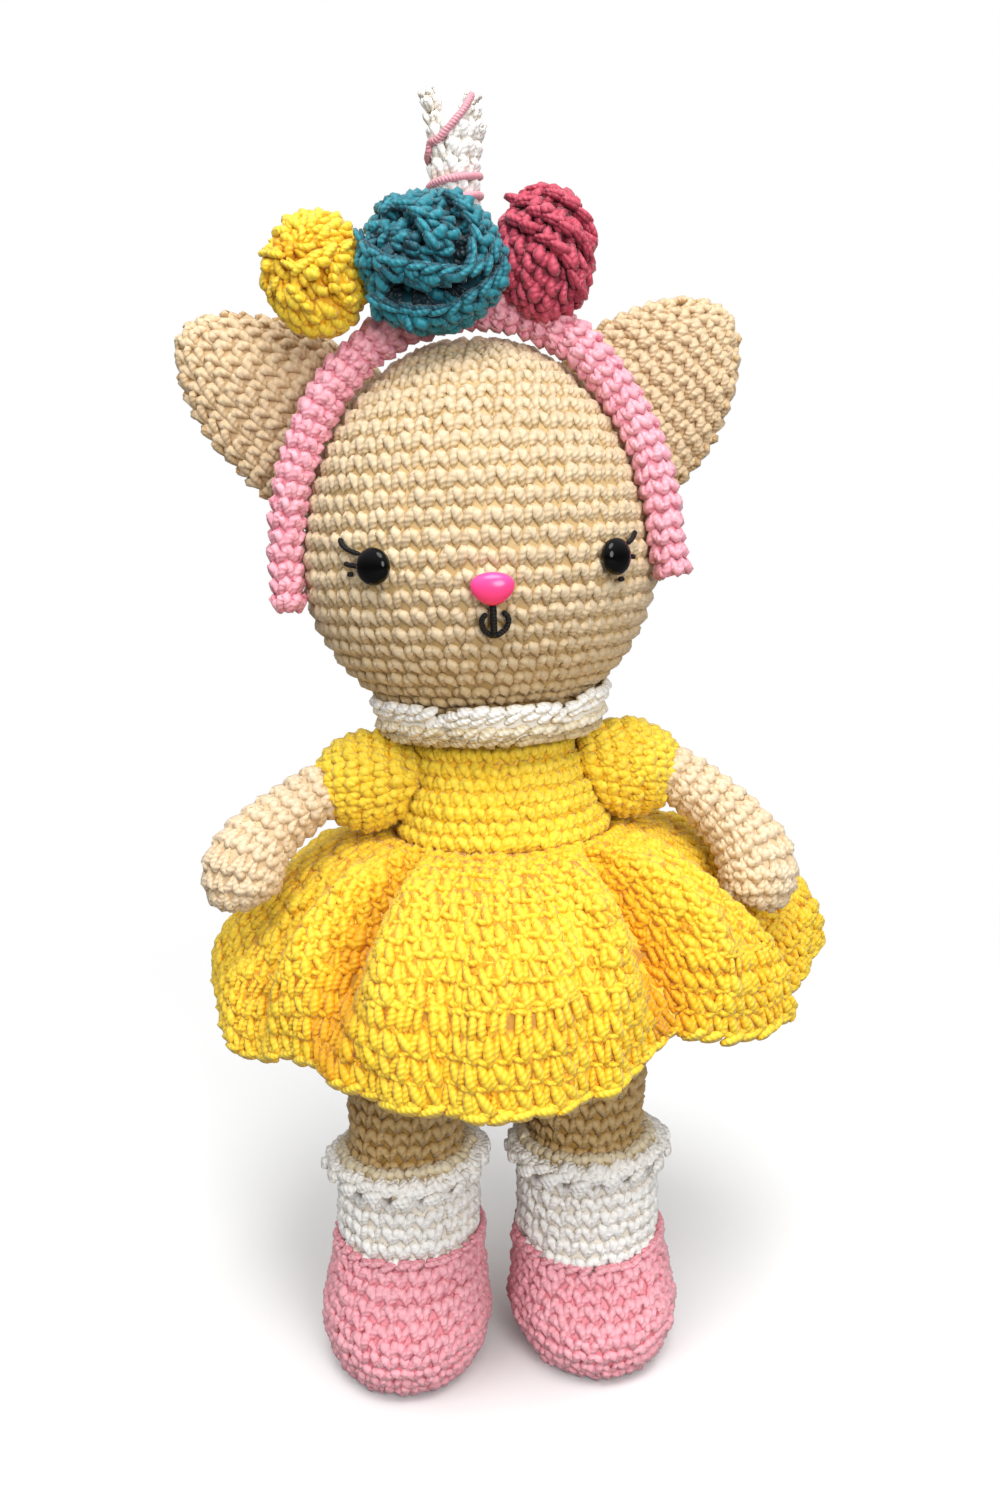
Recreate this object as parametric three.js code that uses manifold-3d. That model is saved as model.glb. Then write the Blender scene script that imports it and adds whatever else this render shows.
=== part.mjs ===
// A crocheted cat doll in a yellow dress, standing, with a flowered headband. Millimetres, +Z up.
// The front faces -Y. Left and right are the sides as seen from the front, so left is -X.
import * as THREE from 'three';
import { mergeVertices } from 'three/addons/utils/BufferGeometryUtils.js';
import Module from 'manifold-3d';

const wasm = await Module();
wasm.setup();

// Cloth and fits
const fit = 0.3;
const clothThickness = 2.4;
const overrun = 4;

// Head: an egg, rounder at the chin
const headRadius = 41.3;
const headRise = 50.5;
const headDrop = 38.5;
const chinRoundnessShare = 1.9;
const crownRoundnessShare = 2;
const neckRadius = 12;
const neckShownLength = 3;
const neckInsideHeadLength = 4.4;
const neckInsideBodyLength = 5.5;

// Ears
const leftEarLength = 42.5;
const rightEarLength = 39.5;
const leftEarHalfWidth = 19.6;
const rightEarHalfWidth = 20.8;
const earHalfThickness = 6.5;
const earBackOffset = 5;
const earRootRiseShare = 0.564;
const earRootReachShare = 0.775;
const earLeanShares = { left: 0.106, right: 0.121 };
const earRoundnessShare = 2.3;
const earFullnessShare = 0.62;

// Eyes, nose and their washers
const eyeRadius = 3.9;
const eyeHeight = 2.9;
const shankRadius = 1.4;
const shankLength = 8;
const washerRadius = 4.4;
const washerThickness = 1.4;
const eyeRise = 1.5;
const eyeTurnShares = { left: -0.097, right: 0.1062 };
const noseHalfWidth = 4.8;
const noseHalfHeight = 3.4;
const noseDepth = 2.8;
const noseRise = -3.6;
const noseTurnShare = -0.002;

// Embroidered threads
const lashThickness = 1.1;
const mouthThickness = 1.3;

// Torso: bodice, collar and hips
const bodiceHeight = 23.5;
const waistRadius = 26;
const shoulderRadius = 20.2;
const bodiceRoundShares = [[0, 1], [0.34, 0.6], [0.68, 0.12], [0.88, -0.2]];
const hipsHeight = 43;
const hipsRadius = 30;
const collarReach = 25.7;
const collarHeight = 7.4;
const collarThickness = 2.6;
const collarRuffle = 0.5;
const collarWaves = 9;

// Lean of the hand-made body to the side, by height
const leanReach = 3.2;

// Sleeves and arms
const sleeveRadius = 12.2;
const sleeveDrop = 10.4;
const sleeveSpacing = 30.4;
const handRadius = 9.4;
const leftArmReach = 31;
const leftArmDrop = 17.2;
const rightArmReach = 29.4;
const rightArmDrop = 24.5;
const armForwardOffset = 12.5;

// Skirt
const hemReach = 72;
const skirtDrop = 44;
const skirtBand = 0.6;
const handDentDepth = 10.3;
const handDentWidth = 17;

// Legs, socks, frills and shoes
const legSpacing = 22.6;
const legRadius = 14;
const legShownLength = 42;
const legInsideHipsLength = 14;
const sockHeight = 44;
const sockRadius = 18;
const frillReach = 20.9;
const frillRise = 7.4;
const frillThickness = 2.2;
const frillRuffle = 1.3;
const frillWaves = 9;
const shoeHalfWidth = 21;
const shoeToeLength = 28.8;
const shoeHeelLength = 19.5;
const shoeHeight = 32;
const shoeSpacing = 23.7;
const shoeOpeningRadius = 19.6;
const shoeSlantShare = -0.14;
const soleThickness = 2.4;
const insoleThickness = 1.6;

// Headband with its flowers and horn
const bandRise = 56;
const bandHalfWidth = 3.5;
const bandHalfDepth = 3.7;
const bandForwardOffset = 10.2;
const rightBandForwardOffset = 11;
const leftBandEndDrop = 8;
const rightBandEndDrop = 3.2;
const bandFlare = 1.4;
const bandRoundnessShare = 2.05;
const roseGrooveDepth = 1.6;
const tealRoseRadius = 17.2;
const sideRoseRadius = 13;
const roseFlatShare = 0.64;
const roseTallShares = { teal: 0.92, yellow: 1.11, raspberry: 1.18 };
const hornRadius = 5.4;
const hornHeight = 39.5;
const hornAsideOffset = -2.9;
const hornNotchDepth = 7;
const threadRadius = 0.75;

// Heights of the stack, from the floor up
const insoleBottom = soleThickness + fit;
const sockBottom = insoleBottom + insoleThickness + fit;
const sockTop = sockBottom + sockHeight;
const legBottom = sockTop + fit;
const hipsBottom = legBottom + legShownLength;
const hipsTop = hipsBottom + hipsHeight;
const bodiceBottom = hipsTop + fit;
const bodiceTop = bodiceBottom + bodiceHeight;
const headOpening = bodiceTop + neckShownLength;
const openingRadius = neckRadius + fit;
const openingDropShare = roundShare(openingRadius / headRadius, chinRoundnessShare);
const headHeight = headOpening + headDrop * openingDropShare;
const bandApex = headHeight + bandRise;

// The headband's legs press on the sides of the head, the right one further forward
const bandFaceShare = Math.cos(Math.PI / 8);
function bandReachAt(forward) {
  const touch = forward - bandHalfDepth / 2;
  return headRadius * roundShare(touch / headRadius, 2) + fit + bandHalfWidth * bandFaceShare;
}
const leftBandReach = bandReachAt(bandForwardOffset);
const rightBandReach = bandReachAt(bandForwardOffset + rightBandForwardOffset);

// Counts of sides and rings
const headSides = 26;
const headRings = 8;
const limbSides = 14;
const fixingSides = 12;
const torsoSides = 22;
const legSides = 18;
const shoeSides = 22;
const threadSides = 5;
const bandSides = 8;
const roseSides = 18;
const roseRings = 11;
const ruffleSteps = 36;
const skirtSides = 60;
const skirtRings = 8;
const degree = Math.PI / 180;
const fullTurn = 2 * Math.PI;

const doll = new THREE.Group();
const colours = {
  skin: 0xe6cfa3, arm: 0xead6bc, yellow: 0xf8c922, pink: 0xe98aa5, shoePink: 0xee9aa8, white: 0xe9e3d6,
  teal: 0x2f7f8c, raspberry: 0xb93a55, black: 0x101010, hotPink: 0xff4fa0, filling: 0xf4f1ea,
  board: 0xc9b48a, clearPlastic: 0xdedede, threadPink: 0xd98a95,
};

// The other leg of a rounded curve: 1 at share 0, 0 at share 1
function roundShare(share, power) {
  return Math.pow(Math.max(0, 1 - Math.pow(Math.min(1, Math.abs(share)), power)), 1 / power);
}

// Builds an outward-facing geometry from corner points and triangles
function geometryFrom(points, triangles) {
  const geometry = new THREE.BufferGeometry();
  geometry.setAttribute('position', new THREE.Float32BufferAttribute(points.flat(), 3));
  let volume = 0;
  for (const [a, b, c] of triangles) {
    const [p, q, r] = [points[a], points[b], points[c]].map((point) => new THREE.Vector3(...point));
    volume += p.dot(q.cross(r));
  }
  const outward = volume > 0 ? triangles : triangles.map(([a, b, c]) => [a, c, b]);
  geometry.setIndex(outward.flat());
  return geometry;
}

// Closed body through a stack of rings, with a fan over each end
function skin(rings) {
  const sides = rings[0].length;
  const points = rings.flat();
  const triangles = [];
  for (let ring = 0; ring + 1 < rings.length; ring += 1) {
    for (let side = 0; side < sides; side += 1) {
      const next = (side + 1) % sides;
      const [a, b] = [ring * sides + side, ring * sides + next];
      triangles.push([a, b, b + sides], [a, b + sides, a + sides]);
    }
  }
  for (const [ring, flip] of [[0, false], [rings.length - 1, true]]) {
    const centre = [0, 1, 2].map((axis) => rings[ring].reduce((sum, point) => sum + point[axis], 0) / sides);
    points.push(centre);
    for (let side = 0; side < sides; side += 1) {
      const [a, b] = [ring * sides + side, ring * sides + ((side + 1) % sides)];
      triangles.push(flip ? [a, b, points.length - 1] : [b, a, points.length - 1]);
    }
  }
  return geometryFrom(points, triangles);
}

// Closed ring-shaped body: sections are closed outlines set around a loop
function loop(sections) {
  const corners = sections[0].length;
  const points = sections.flat();
  const triangles = [];
  for (let step = 0; step < sections.length; step += 1) {
    const ahead = (step + 1) % sections.length;
    for (let corner = 0; corner < corners; corner += 1) {
      const next = (corner + 1) % corners;
      const [a, b] = [step * corners + corner, step * corners + next];
      const [c, d] = [ahead * corners + next, ahead * corners + corner];
      triangles.push([a, b, c], [a, c, d]);
    }
  }
  return geometryFrom(points, triangles);
}

function solidOf(geometry) {
  const bare = geometry.clone();
  bare.deleteAttribute('normal');
  bare.deleteAttribute('uv');
  const merged = mergeVertices(bare);
  const mesh = new wasm.Mesh({
    numProp: 3,
    vertProperties: new Float32Array(merged.attributes.position.array),
    triVerts: new Uint32Array(merged.index.array),
  });
  return new wasm.Manifold(mesh);
}

function geometryOf(solid) {
  const mesh = solid.getMesh();
  const geometry = new THREE.BufferGeometry();
  geometry.setAttribute('position', new THREE.Float32BufferAttribute(mesh.vertProperties, 3));
  geometry.setIndex(new THREE.BufferAttribute(mesh.triVerts, 1));
  return geometry;
}

function cut(geometry, ...cutters) {
  return geometryOf(cutters.reduce((solid, cutter) => solid.subtract(solidOf(cutter)), solidOf(geometry)));
}

function join(...geometries) {
  const solids = geometries.map(solidOf);
  return geometryOf(solids.reduce((whole, solid) => whole.add(solid)));
}

function add(name, geometry, colour, roughness = 0.9) {
  const material = new THREE.MeshStandardMaterial({ color: colour, roughness, metalness: 0 });
  const mesh = new THREE.Mesh(geometry, material);
  mesh.name = name;
  doll.add(mesh);
  return mesh;
}

// Smooth value between hand-chosen [place, value, ...] rows
function between(rows, place, column = 1) {
  if (place <= rows[0][0]) return rows[0][column];
  for (let row = 0; row + 1 < rows.length; row += 1) {
    const [low, high] = [rows[row], rows[row + 1]];
    if (place <= high[0]) {
      const share = (place - low[0]) / (high[0] - low[0]);
      const eased = share * share * (3 - 2 * share);
      return low[column] + (high[column] - low[column]) * eased;
    }
  }
  return rows[rows.length - 1][column];
}

// Sideways lean of the body at a height, as a share of the height of the bodice top
const leanShares = [[0, -0.75], [0.32, -0.5], [0.64, 0.31], [0.85, 1], [0.94, 0.81], [1, 0.34], [1.03, 0]];
function leanAt(height) {
  return leanReach * between(leanShares, height / bodiceTop);
}

function ringAt(centreX, centreY, height, halfWidth, halfDepth, sides) {
  return Array.from({ length: sides }, (_, side) => {
    const turn = (fullTurn * side) / sides;
    return [centreX + halfWidth * Math.cos(turn), centreY + halfDepth * Math.sin(turn), height];
  });
}

// Egg of the head with its skin moved out by grow, closed top and bottom
function headEgg(grow, sides, rings) {
  const profile = [];
  for (let ring = -rings; ring <= rings; ring += 1) {
    const angle = (Math.PI / 2) * (ring / rings);
    const power = ring < 0 ? chinRoundnessShare : crownRoundnessShare;
    const reach = ring < 0 ? headDrop + grow : headRise + grow;
    const radius = (headRadius + grow) * Math.pow(Math.max(0, Math.cos(angle)), 2 / power);
    const rise = Math.sign(ring) * reach * Math.pow(Math.abs(Math.sin(angle)), 2 / power);
    profile.push(new THREE.Vector2(Math.abs(ring) === rings ? 0 : radius, headHeight + rise));
  }
  return new THREE.LatheGeometry(profile, sides).rotateX(Math.PI / 2);
}

// A lathe about a standing axis: rows of [radius, height]
function lathe(rows, sides) {
  const profile = rows.map(([radius, height]) => new THREE.Vector2(radius, height));
  const turned = new THREE.LatheGeometry(profile, sides);
  return turned.rotateX(Math.PI / 2);
}

// Point of the head's skin at a turn from the front and a rise over the head's middle
function headPoint(turn, rise, grow = 0) {
  const reach = (rise >= 0 ? headRise : headDrop) + grow;
  const power = rise >= 0 ? crownRoundnessShare : chinRoundnessShare;
  const radius = (headRadius + grow) * roundShare(rise / reach, power);
  return new THREE.Vector3(radius * Math.sin(turn), -radius * Math.cos(turn), headHeight + rise);
}

function headNormal(turn, rise) {
  const step = headRadius / 1000;
  const across = headPoint(turn + step / headRadius, rise).sub(headPoint(turn - step / headRadius, rise));
  const up = headPoint(turn, rise + step).sub(headPoint(turn, rise - step));
  return across.cross(up).normalize();
}

// Turns a piece made along +Z so that it stands out of the head's skin at that place
function onHead(geometry, turn, rise, grow) {
  const normal = headNormal(turn, rise);
  const sideways = new THREE.Vector3(Math.cos(turn), Math.sin(turn), 0);
  const upward = normal.clone().cross(sideways);
  const frame = new THREE.Matrix4().makeBasis(sideways, upward, normal);
  frame.setPosition(headPoint(turn, rise).addScaledVector(normal, grow));
  return geometry.applyMatrix4(frame);
}

// A thread through points, as an unbroken tube with flat ends
function thread(points, radius, steps) {
  const path = new THREE.CatmullRomCurve3(points);
  const section = new THREE.Shape();
  for (let side = 0; side < threadSides; side += 1) {
    const turn = (fullTurn * side) / threadSides;
    const [x, y] = [radius * Math.cos(turn), radius * Math.sin(turn)];
    if (side === 0) section.moveTo(x, y);
    else section.lineTo(x, y);
  }
  section.closePath();
  return new THREE.ExtrudeGeometry(section, { steps, bevelEnabled: false, extrudePath: path });
}

// Head cover and its filling
const shankHole = shankRadius + fit;
const eyeTurns = { left: eyeTurnShares.left * fullTurn, right: eyeTurnShares.right * fullTurn };
const noseTurn = noseTurnShare * fullTurn;
const fixings = [[eyeTurns.left, eyeRise], [eyeTurns.right, eyeRise], [noseTurn, noseRise]];

function fixingCutter(turn, rise, radius) {
  const length = shankLength + 2 * overrun;
  const rod = new THREE.CylinderGeometry(radius, radius, length, fixingSides).rotateX(Math.PI / 2);
  return onHead(rod, turn, rise, overrun - length / 2);
}

const neckBore = new THREE.CylinderGeometry(openingRadius, openingRadius, headDrop, headSides);
neckBore.rotateX(Math.PI / 2).translate(0, 0, headOpening);
const shankBores = fixings.map(([turn, rise]) => fixingCutter(turn, rise, shankHole));
const headInner = headEgg(-clothThickness, headSides, headRings - 2);
add('head_cover', cut(headEgg(0, headSides, headRings), headInner, neckBore, ...shankBores), colours.skin);

const neckTop = headOpening + neckInsideHeadLength;
const fillingFloor = new THREE.BoxGeometry(3 * headRadius, 3 * headRadius, headDrop);
fillingFloor.translate(0, 0, neckTop + fit - headDrop / 2);
const washerRoom = fixings.map(([turn, rise]) => {
  const length = shankLength + overrun;
  const rod = new THREE.CylinderGeometry(washerRadius + fit, washerRadius + fit, length, fixingSides);
  return onHead(rod.rotateX(Math.PI / 2), turn, rise, -(shankLength + fit) + length / 2);
});
const headFilling = headEgg(-clothThickness - fit, headSides, headRings - 2);
add('head_filling', cut(headFilling, fillingFloor, ...washerRoom), colours.filling);

// Eyes, nose and washers: a domed front, a shank through the cover, a washer pressed on inside
const domeShares = [1, 0.96, 0.8, 0.5, 0.24];
function fixingGeometry(halfWidth, halfHeight, depth) {
  const rows = [[0, -shankLength], [shankRadius, -shankLength], [shankRadius, 0]];
  for (const share of domeShares) {
    rows.push([halfWidth * share, depth * roundShare(share, crownRoundnessShare)]);
  }
  rows.push([0, depth]);
  const piece = lathe(rows, limbSides);
  const flatten = halfHeight / halfWidth;
  const position = piece.attributes.position;
  for (let corner = 0; corner < position.count; corner += 1) {
    if (position.getZ(corner) >= 0) position.setY(corner, position.getY(corner) * flatten);
  }
  return piece;
}

function washerGeometry() {
  const [bore, back] = [shankRadius + fit, -washerThickness];
  return lathe([[bore, 0], [bore, back], [washerRadius, back], [washerRadius, 0], [bore, 0]], fixingSides);
}

const washerSink = clothThickness + 3 * fit;
for (const side of ['left', 'right']) {
  const dome = fixingGeometry(eyeRadius, eyeRadius, eyeHeight);
  add(`${side}_eye`, onHead(dome, eyeTurns[side], eyeRise, fit), colours.black, 0.08);
  const washer = onHead(washerGeometry(), eyeTurns[side], eyeRise, -washerSink);
  add(`${side}_eye_washer`, washer, colours.clearPlastic, 0.4);
}
const noseFront = fixingGeometry(noseHalfWidth, noseHalfHeight, noseDepth);
add('nose', onHead(noseFront, noseTurn, noseRise, fit), colours.hotPink, 0.2);
add('nose_washer', onHead(washerGeometry(), noseTurn, noseRise, -washerSink), colours.clearPlastic, 0.4);

// Lashes and mouth: black thread lying on the cover, given in eye and nose sizes from their middles
const stitchSteps = 5;
function stitchOnHead(turn, rise, shares, unit, thickness) {
  const points = shares.map(([across, up]) => {
    return headPoint(turn + (across * unit) / headRadius, rise + up * unit, fit + thickness / 2);
  });
  return thread(points, thickness / 2, stitchSteps);
}

const lashShares = {
  left: [
    [[-1.3, -0.36], [-1.38, 0.2], [-1.28, 0.76]],
    [[-1.3, 0.66], [-1.8, 0.92], [-2.35, 1.5]],
    [[-1.36, 0.1], [-1.7, 0.12], [-2.05, 0.18]],
    [[-1.28, -0.3], [-1.54, -0.36], [-1.8, -0.38]],
  ],
  right: [
    [[1.27, 0.76], [1.4, 0.1], [1.12, -0.82], [0.44, -1.32]],
    [[1.3, 0.66], [1.65, 0.86], [2.05, 1.28]],
    [[1.38, -0.02], [1.56, -0.06], [1.8, -0.1]],
  ],
};
for (const side of ['left', 'right']) {
  const strands = lashShares[side].map((shares) => {
    return stitchOnHead(eyeTurns[side], eyeRise, shares, eyeRadius, lashThickness);
  });
  add(`${side}_lashes`, join(...strands), colours.black);
}
const mouthShares = [
  [[0, -1.15], [0.02, -2], [0.05, -2.95]],
  [[-0.34, -1.5], [-0.68, -1.95], [-0.56, -2.5], [0.02, -2.95]],
  [[0.62, -1.38], [1.04, -1.85], [0.86, -2.5], [0.1, -2.95]],
];
const mouthStrands = mouthShares.map((shares) => {
  return stitchOnHead(noseTurn, noseRise, shares, noseHalfHeight, mouthThickness);
});
add('mouth', join(...mouthStrands), colours.black);

// Ears: flattened rounded triangles sewn to the sides of the crown
const headClear = headEgg(fit, headSides, headRings);
const earStepShares = [0, 0.22, 0.42, 0.6, 0.75, 0.87, 0.95, 0.99];
function earGeometry(sign, leanShare, length, halfWidth) {
  const lean = leanShare * fullTurn;
  const along = [sign * Math.cos(lean), Math.sin(lean)];
  const across = [-along[1], along[0]];
  const rings = earStepShares.map((share) => {
    const full = Math.pow(1 - Math.pow(share, earRoundnessShare), earFullnessShare);
    return Array.from({ length: limbSides }, (_, side) => {
      const turn = (fullTurn * side) / limbSides;
      const wide = halfWidth * full * Math.cos(turn);
      const thick = earHalfThickness * Math.sqrt(full) * Math.sin(turn);
      const reach = length * share;
      return [
        sign * headRadius * earRootReachShare + along[0] * reach + across[0] * wide,
        earBackOffset + thick,
        headHeight + headRise * earRootRiseShare + along[1] * reach + across[1] * wide,
      ];
    });
  });
  return cut(skin(rings), headClear);
}
add('left_ear', earGeometry(-1, earLeanShares.left, leftEarLength, leftEarHalfWidth), colours.skin);
add('right_ear', earGeometry(1, earLeanShares.right, rightEarLength, rightEarHalfWidth), colours.skin);

// Bodice: the yellow top of the torso, worked as a tube over the filling
const [shoulderShare, shoulderSlopeShare] = bodiceRoundShares[bodiceRoundShares.length - 1];
function bodiceRadiusAt(share) {
  const slope = waistRadius - shoulderRadius;
  if (share <= shoulderShare) return shoulderRadius + slope * between(bodiceRoundShares, share);
  const low = shoulderRadius + slope * shoulderSlopeShare;
  const rest = (share - shoulderShare) / (1 - shoulderShare);
  return openingRadius + (low - openingRadius) * roundShare(rest, crownRoundnessShare);
}

const bodiceStepShares = [0, 0.2, 0.4, 0.6, 0.74, 0.88, 0.94, 0.98, 1];
function bodiceRings(grow, sides, lift) {
  return bodiceStepShares.map((share) => {
    const height = bodiceBottom + bodiceHeight * share;
    const radius = Math.max(bodiceRadiusAt(share) + grow, openingRadius + Math.min(0, grow));
    return ringAt(leanAt(height), 0, height + lift * share, radius, radius, sides);
  });
}

const neckBottom = bodiceTop - neckInsideBodyLength;
const neckLean = leanAt(bodiceTop);
function neckRing(height, grow) {
  const centreX = height >= headOpening - fit ? 0 : neckLean / 2;
  return ringAt(centreX, 0, height, neckRadius + grow, neckRadius + grow, torsoSides);
}

const neckRoom = skin([neckRing(neckBottom - fit, fit), neckRing(bodiceTop + neckShownLength / 2, fit)]);
const bodiceHollow = skin(bodiceRings(-clothThickness, torsoSides, -clothThickness));
const hollowMouth = new THREE.CylinderGeometry(
  waistRadius - clothThickness, waistRadius - clothThickness, clothThickness, torsoSides,
);
hollowMouth.rotateX(Math.PI / 2).translate(leanAt(bodiceBottom), 0, bodiceBottom);
add('bodice', cut(skin(bodiceRings(0, torsoSides, 0)), bodiceHollow, hollowMouth, neckRoom), colours.yellow);
const fillingRings = bodiceRings(-clothThickness - fit, torsoSides, -clothThickness - fit);
add('body_filling', cut(skin(fillingRings), neckRoom), colours.filling);
const neckHeights = [neckBottom, bodiceTop, headOpening, neckTop];
const neckRings = neckHeights.map((height) => neckRing(height, 0));
add('neck', skin(neckRings), colours.skin);

// Hips under the skirt, cut by the tops of the legs
const legFullShares = [[0, 1], [0.2, 1.03], [0.45, 1.05], [0.75, 1.04], [0.93, 0.92], [1, 0.78]];
function legRings(side, grow) {
  const sign = side === 'left' ? -1 : 1;
  const length = legShownLength + legInsideHipsLength;
  return legFullShares.map(([share, full]) => {
    const height = legBottom + length * share;
    const radius = legRadius * full + grow;
    const end = share === 1 ? grow : 0;
    return ringAt(leanAt(height) + sign * legSpacing, 0, height + end, radius, radius, legSides);
  });
}

const hipsShares = [[0, 0.5], [0.06, 0.74], [0.18, 0.92], [0.36, 1], [0.6, 0.98], [0.82, 0.9], [1, 0.845]];
const hipsWideShares = [[0.2, 1.18], [0.6, 1]];
const hipsRings = hipsShares.map(([share, full]) => {
  const height = hipsBottom + hipsHeight * share;
  const wide = between(hipsWideShares, share);
  return ringAt(leanAt(height), 0, height, hipsRadius * full * wide, hipsRadius * full, torsoSides);
});
const legRooms = ['left', 'right'].map((side) => skin(legRings(side, fit)));
add('hips', cut(skin(hipsRings), ...legRooms), colours.skin);

// Collar: a white ruffled stand-up band round the neck, resting on the bodice
const bodiceClear = skin(bodiceRings(fit, torsoSides, fit));
const collarOutlineShares = [[0.66, 0.02], [0.95, 0.16], [1, 1], [0.93, 0.9], [0.86, 0.3], [0.66, 0.2]];
const collarRuffledShare = 0.8;
const collarBase = bodiceTop - (clothThickness + fit) / 3;
const collarSections = Array.from({ length: ruffleSteps }, (_, step) => {
  const turn = (fullTurn * step) / ruffleSteps;
  const wave = collarRuffle * Math.sin(collarWaves * turn);
  return collarOutlineShares.map(([out, up]) => {
    const radius = collarReach * out + (out > collarRuffledShare ? wave : 0);
    const height = collarBase + collarHeight * up;
    return [leanAt(bodiceTop) + radius * Math.cos(turn), radius * Math.sin(turn), height];
  });
});
add('collar', cut(loop(collarSections), bodiceClear, headClear), colours.white);

// Sleeves: yellow puffs turned about the line of the shoulders, so an arm can swing about it
const sleeveHeight = bodiceTop - sleeveDrop;
const shoulderLean = leanAt(sleeveHeight);
function bodiceHalfAt(height) {
  return bodiceRadiusAt(Math.min(1, Math.max(0, (height - bodiceBottom) / bodiceHeight)));
}

const sleeveInnerShares = [0, 0.3, 0.6, 0.8];
const sleeveLowestShare = -0.6;
const sleeveSteps = 7;
function sleeveGeometry(sign, grow) {
  const rows = sleeveInnerShares.map((share) => {
    const low = sleeveHeight - sleeveRadius * share;
    const face = bodiceHalfAt(low) + leanAt(low) * sign - shoulderLean * sign;
    const middle = bodiceHalfAt(sleeveHeight);
    return [sleeveRadius * share + (share > 0 ? grow : 0), Math.max(face, middle) + 2 * fit - grow];
  });
  const lowest = rows[rows.length - 1][1] - sleeveSpacing;
  const start = Math.asin(Math.max(sleeveLowestShare, lowest / sleeveRadius));
  for (let step = 1; step <= sleeveSteps; step += 1) {
    const angle = start + (Math.PI / 2 - start) * (step / sleeveSteps);
    const radius = step === sleeveSteps ? 0 : (sleeveRadius + grow) * Math.cos(angle);
    rows.push([radius, sleeveSpacing + (sleeveRadius + grow) * Math.sin(angle)]);
  }
  const piece = lathe(rows, legSides).rotateY(Math.PI / 2);
  if (sign < 0) piece.rotateZ(Math.PI);
  return piece.translate(shoulderLean, 0, sleeveHeight);
}

// Arms: soft tubes from inside the sleeve to a round hand, as [reach, forward, drop, thickness] shares
const armShares = {
  left: [
    [0.1, 0.02, 0, 0.62], [0.36, 0.16, 0.07, 0.73], [0.64, 0.4, 0.36, 0.78], [0.84, 0.68, 0.64, 0.9],
    [0.95, 0.9, 0.9, 1], [1, 1, 1.2, 0.94], [1.01, 1.04, 1.42, 0.66], [1.01, 1.05, 1.5, 0.3],
  ],
  right: [
    [0.1, 0.02, 0, 0.62], [0.33, 0.14, 0.03, 0.73], [0.6, 0.36, 0.26, 0.77], [0.84, 0.62, 0.56, 0.86],
    [0.98, 0.88, 0.88, 1], [1, 1, 1.14, 0.95], [0.99, 1.04, 1.3, 0.66], [0.98, 1.05, 1.36, 0.3],
  ],
};
function armGeometry(side) {
  const sign = side === 'left' ? -1 : 1;
  const reach = side === 'left' ? leftArmReach : rightArmReach;
  const drop = side === 'left' ? leftArmDrop : rightArmDrop;
  const stops = armShares[side].map(([out, forward, down]) => new THREE.Vector3(
    shoulderLean + sign * (sleeveSpacing + reach * out),
    -armForwardOffset * forward,
    sleeveHeight - drop * down,
  ));
  const path = new THREE.CatmullRomCurve3(stops);
  const last = stops.length - 1;
  const rings = [];
  const ringCount = 2 * last;
  for (let ring = 0; ring <= ringCount; ring += 1) {
    const share = ring / ringCount;
    const centre = path.getPoint(share);
    const along = path.getTangent(share);
    const level = new THREE.Vector3(0, 1, 0).cross(along).normalize();
    const upright = along.clone().cross(level);
    const place = share * last;
    const low = Math.min(last - 1, Math.floor(place));
    const [before, after] = [armShares[side][low][3], armShares[side][low + 1][3]];
    const full = before + (after - before) * (place - low);
    rings.push(Array.from({ length: limbSides }, (_, corner) => {
      const turn = (fullTurn * corner) / limbSides;
      const point = centre.clone();
      point.addScaledVector(level, handRadius * full * Math.cos(turn));
      point.addScaledVector(upright, handRadius * full * Math.sin(turn));
      return point.toArray();
    }));
  }
  return cut(skin(rings), sleeveGeometry(sign, fit));
}
for (const [side, sign] of [['left', -1], ['right', 1]]) {
  add(`${side}_sleeve`, sleeveGeometry(sign, 0), colours.yellow);
  add(`${side}_arm`, armGeometry(side), colours.arm);
}

// Skirt: one gathered cloth. Rows of [turn from the front, reach, drop], as shares of a turn,
// of the hem's reach and of the skirt's drop
const hemShares = [
  [-0.5, 0.944, 0.82], [-0.444, 1, 0.84], [-0.389, 0.93, 0.8], [-0.333, 0.99, 0.8],
  [-0.292, 1.01, 0.77], [-0.25, 1, 0.75], [-0.222, 0.96, 0.8], [-0.183, 0.875, 0.86],
  [-0.147, 0.825, 0.91], [-0.108, 0.86, 0.95], [-0.08, 0.865, 0.98], [-0.05, 0.865, 1],
  [-0.02, 0.875, 1.01], [0.011, 0.845, 1], [0.039, 0.815, 0.98], [0.064, 0.78, 0.945],
  [0.086, 0.735, 0.89], [0.104, 0.715, 0.855], [0.122, 0.8, 0.89], [0.136, 0.855, 0.925],
  [0.153, 0.9, 0.91], [0.189, 0.945, 0.84], [0.217, 0.915, 0.81], [0.239, 1.015, 0.8],
  [0.261, 1.13, 0.8], [0.292, 1.1, 0.76], [0.333, 0.975, 0.8], [0.389, 1.04, 0.82],
  [0.444, 0.945, 0.8], [0.5, 0.944, 0.82],
];
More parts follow.
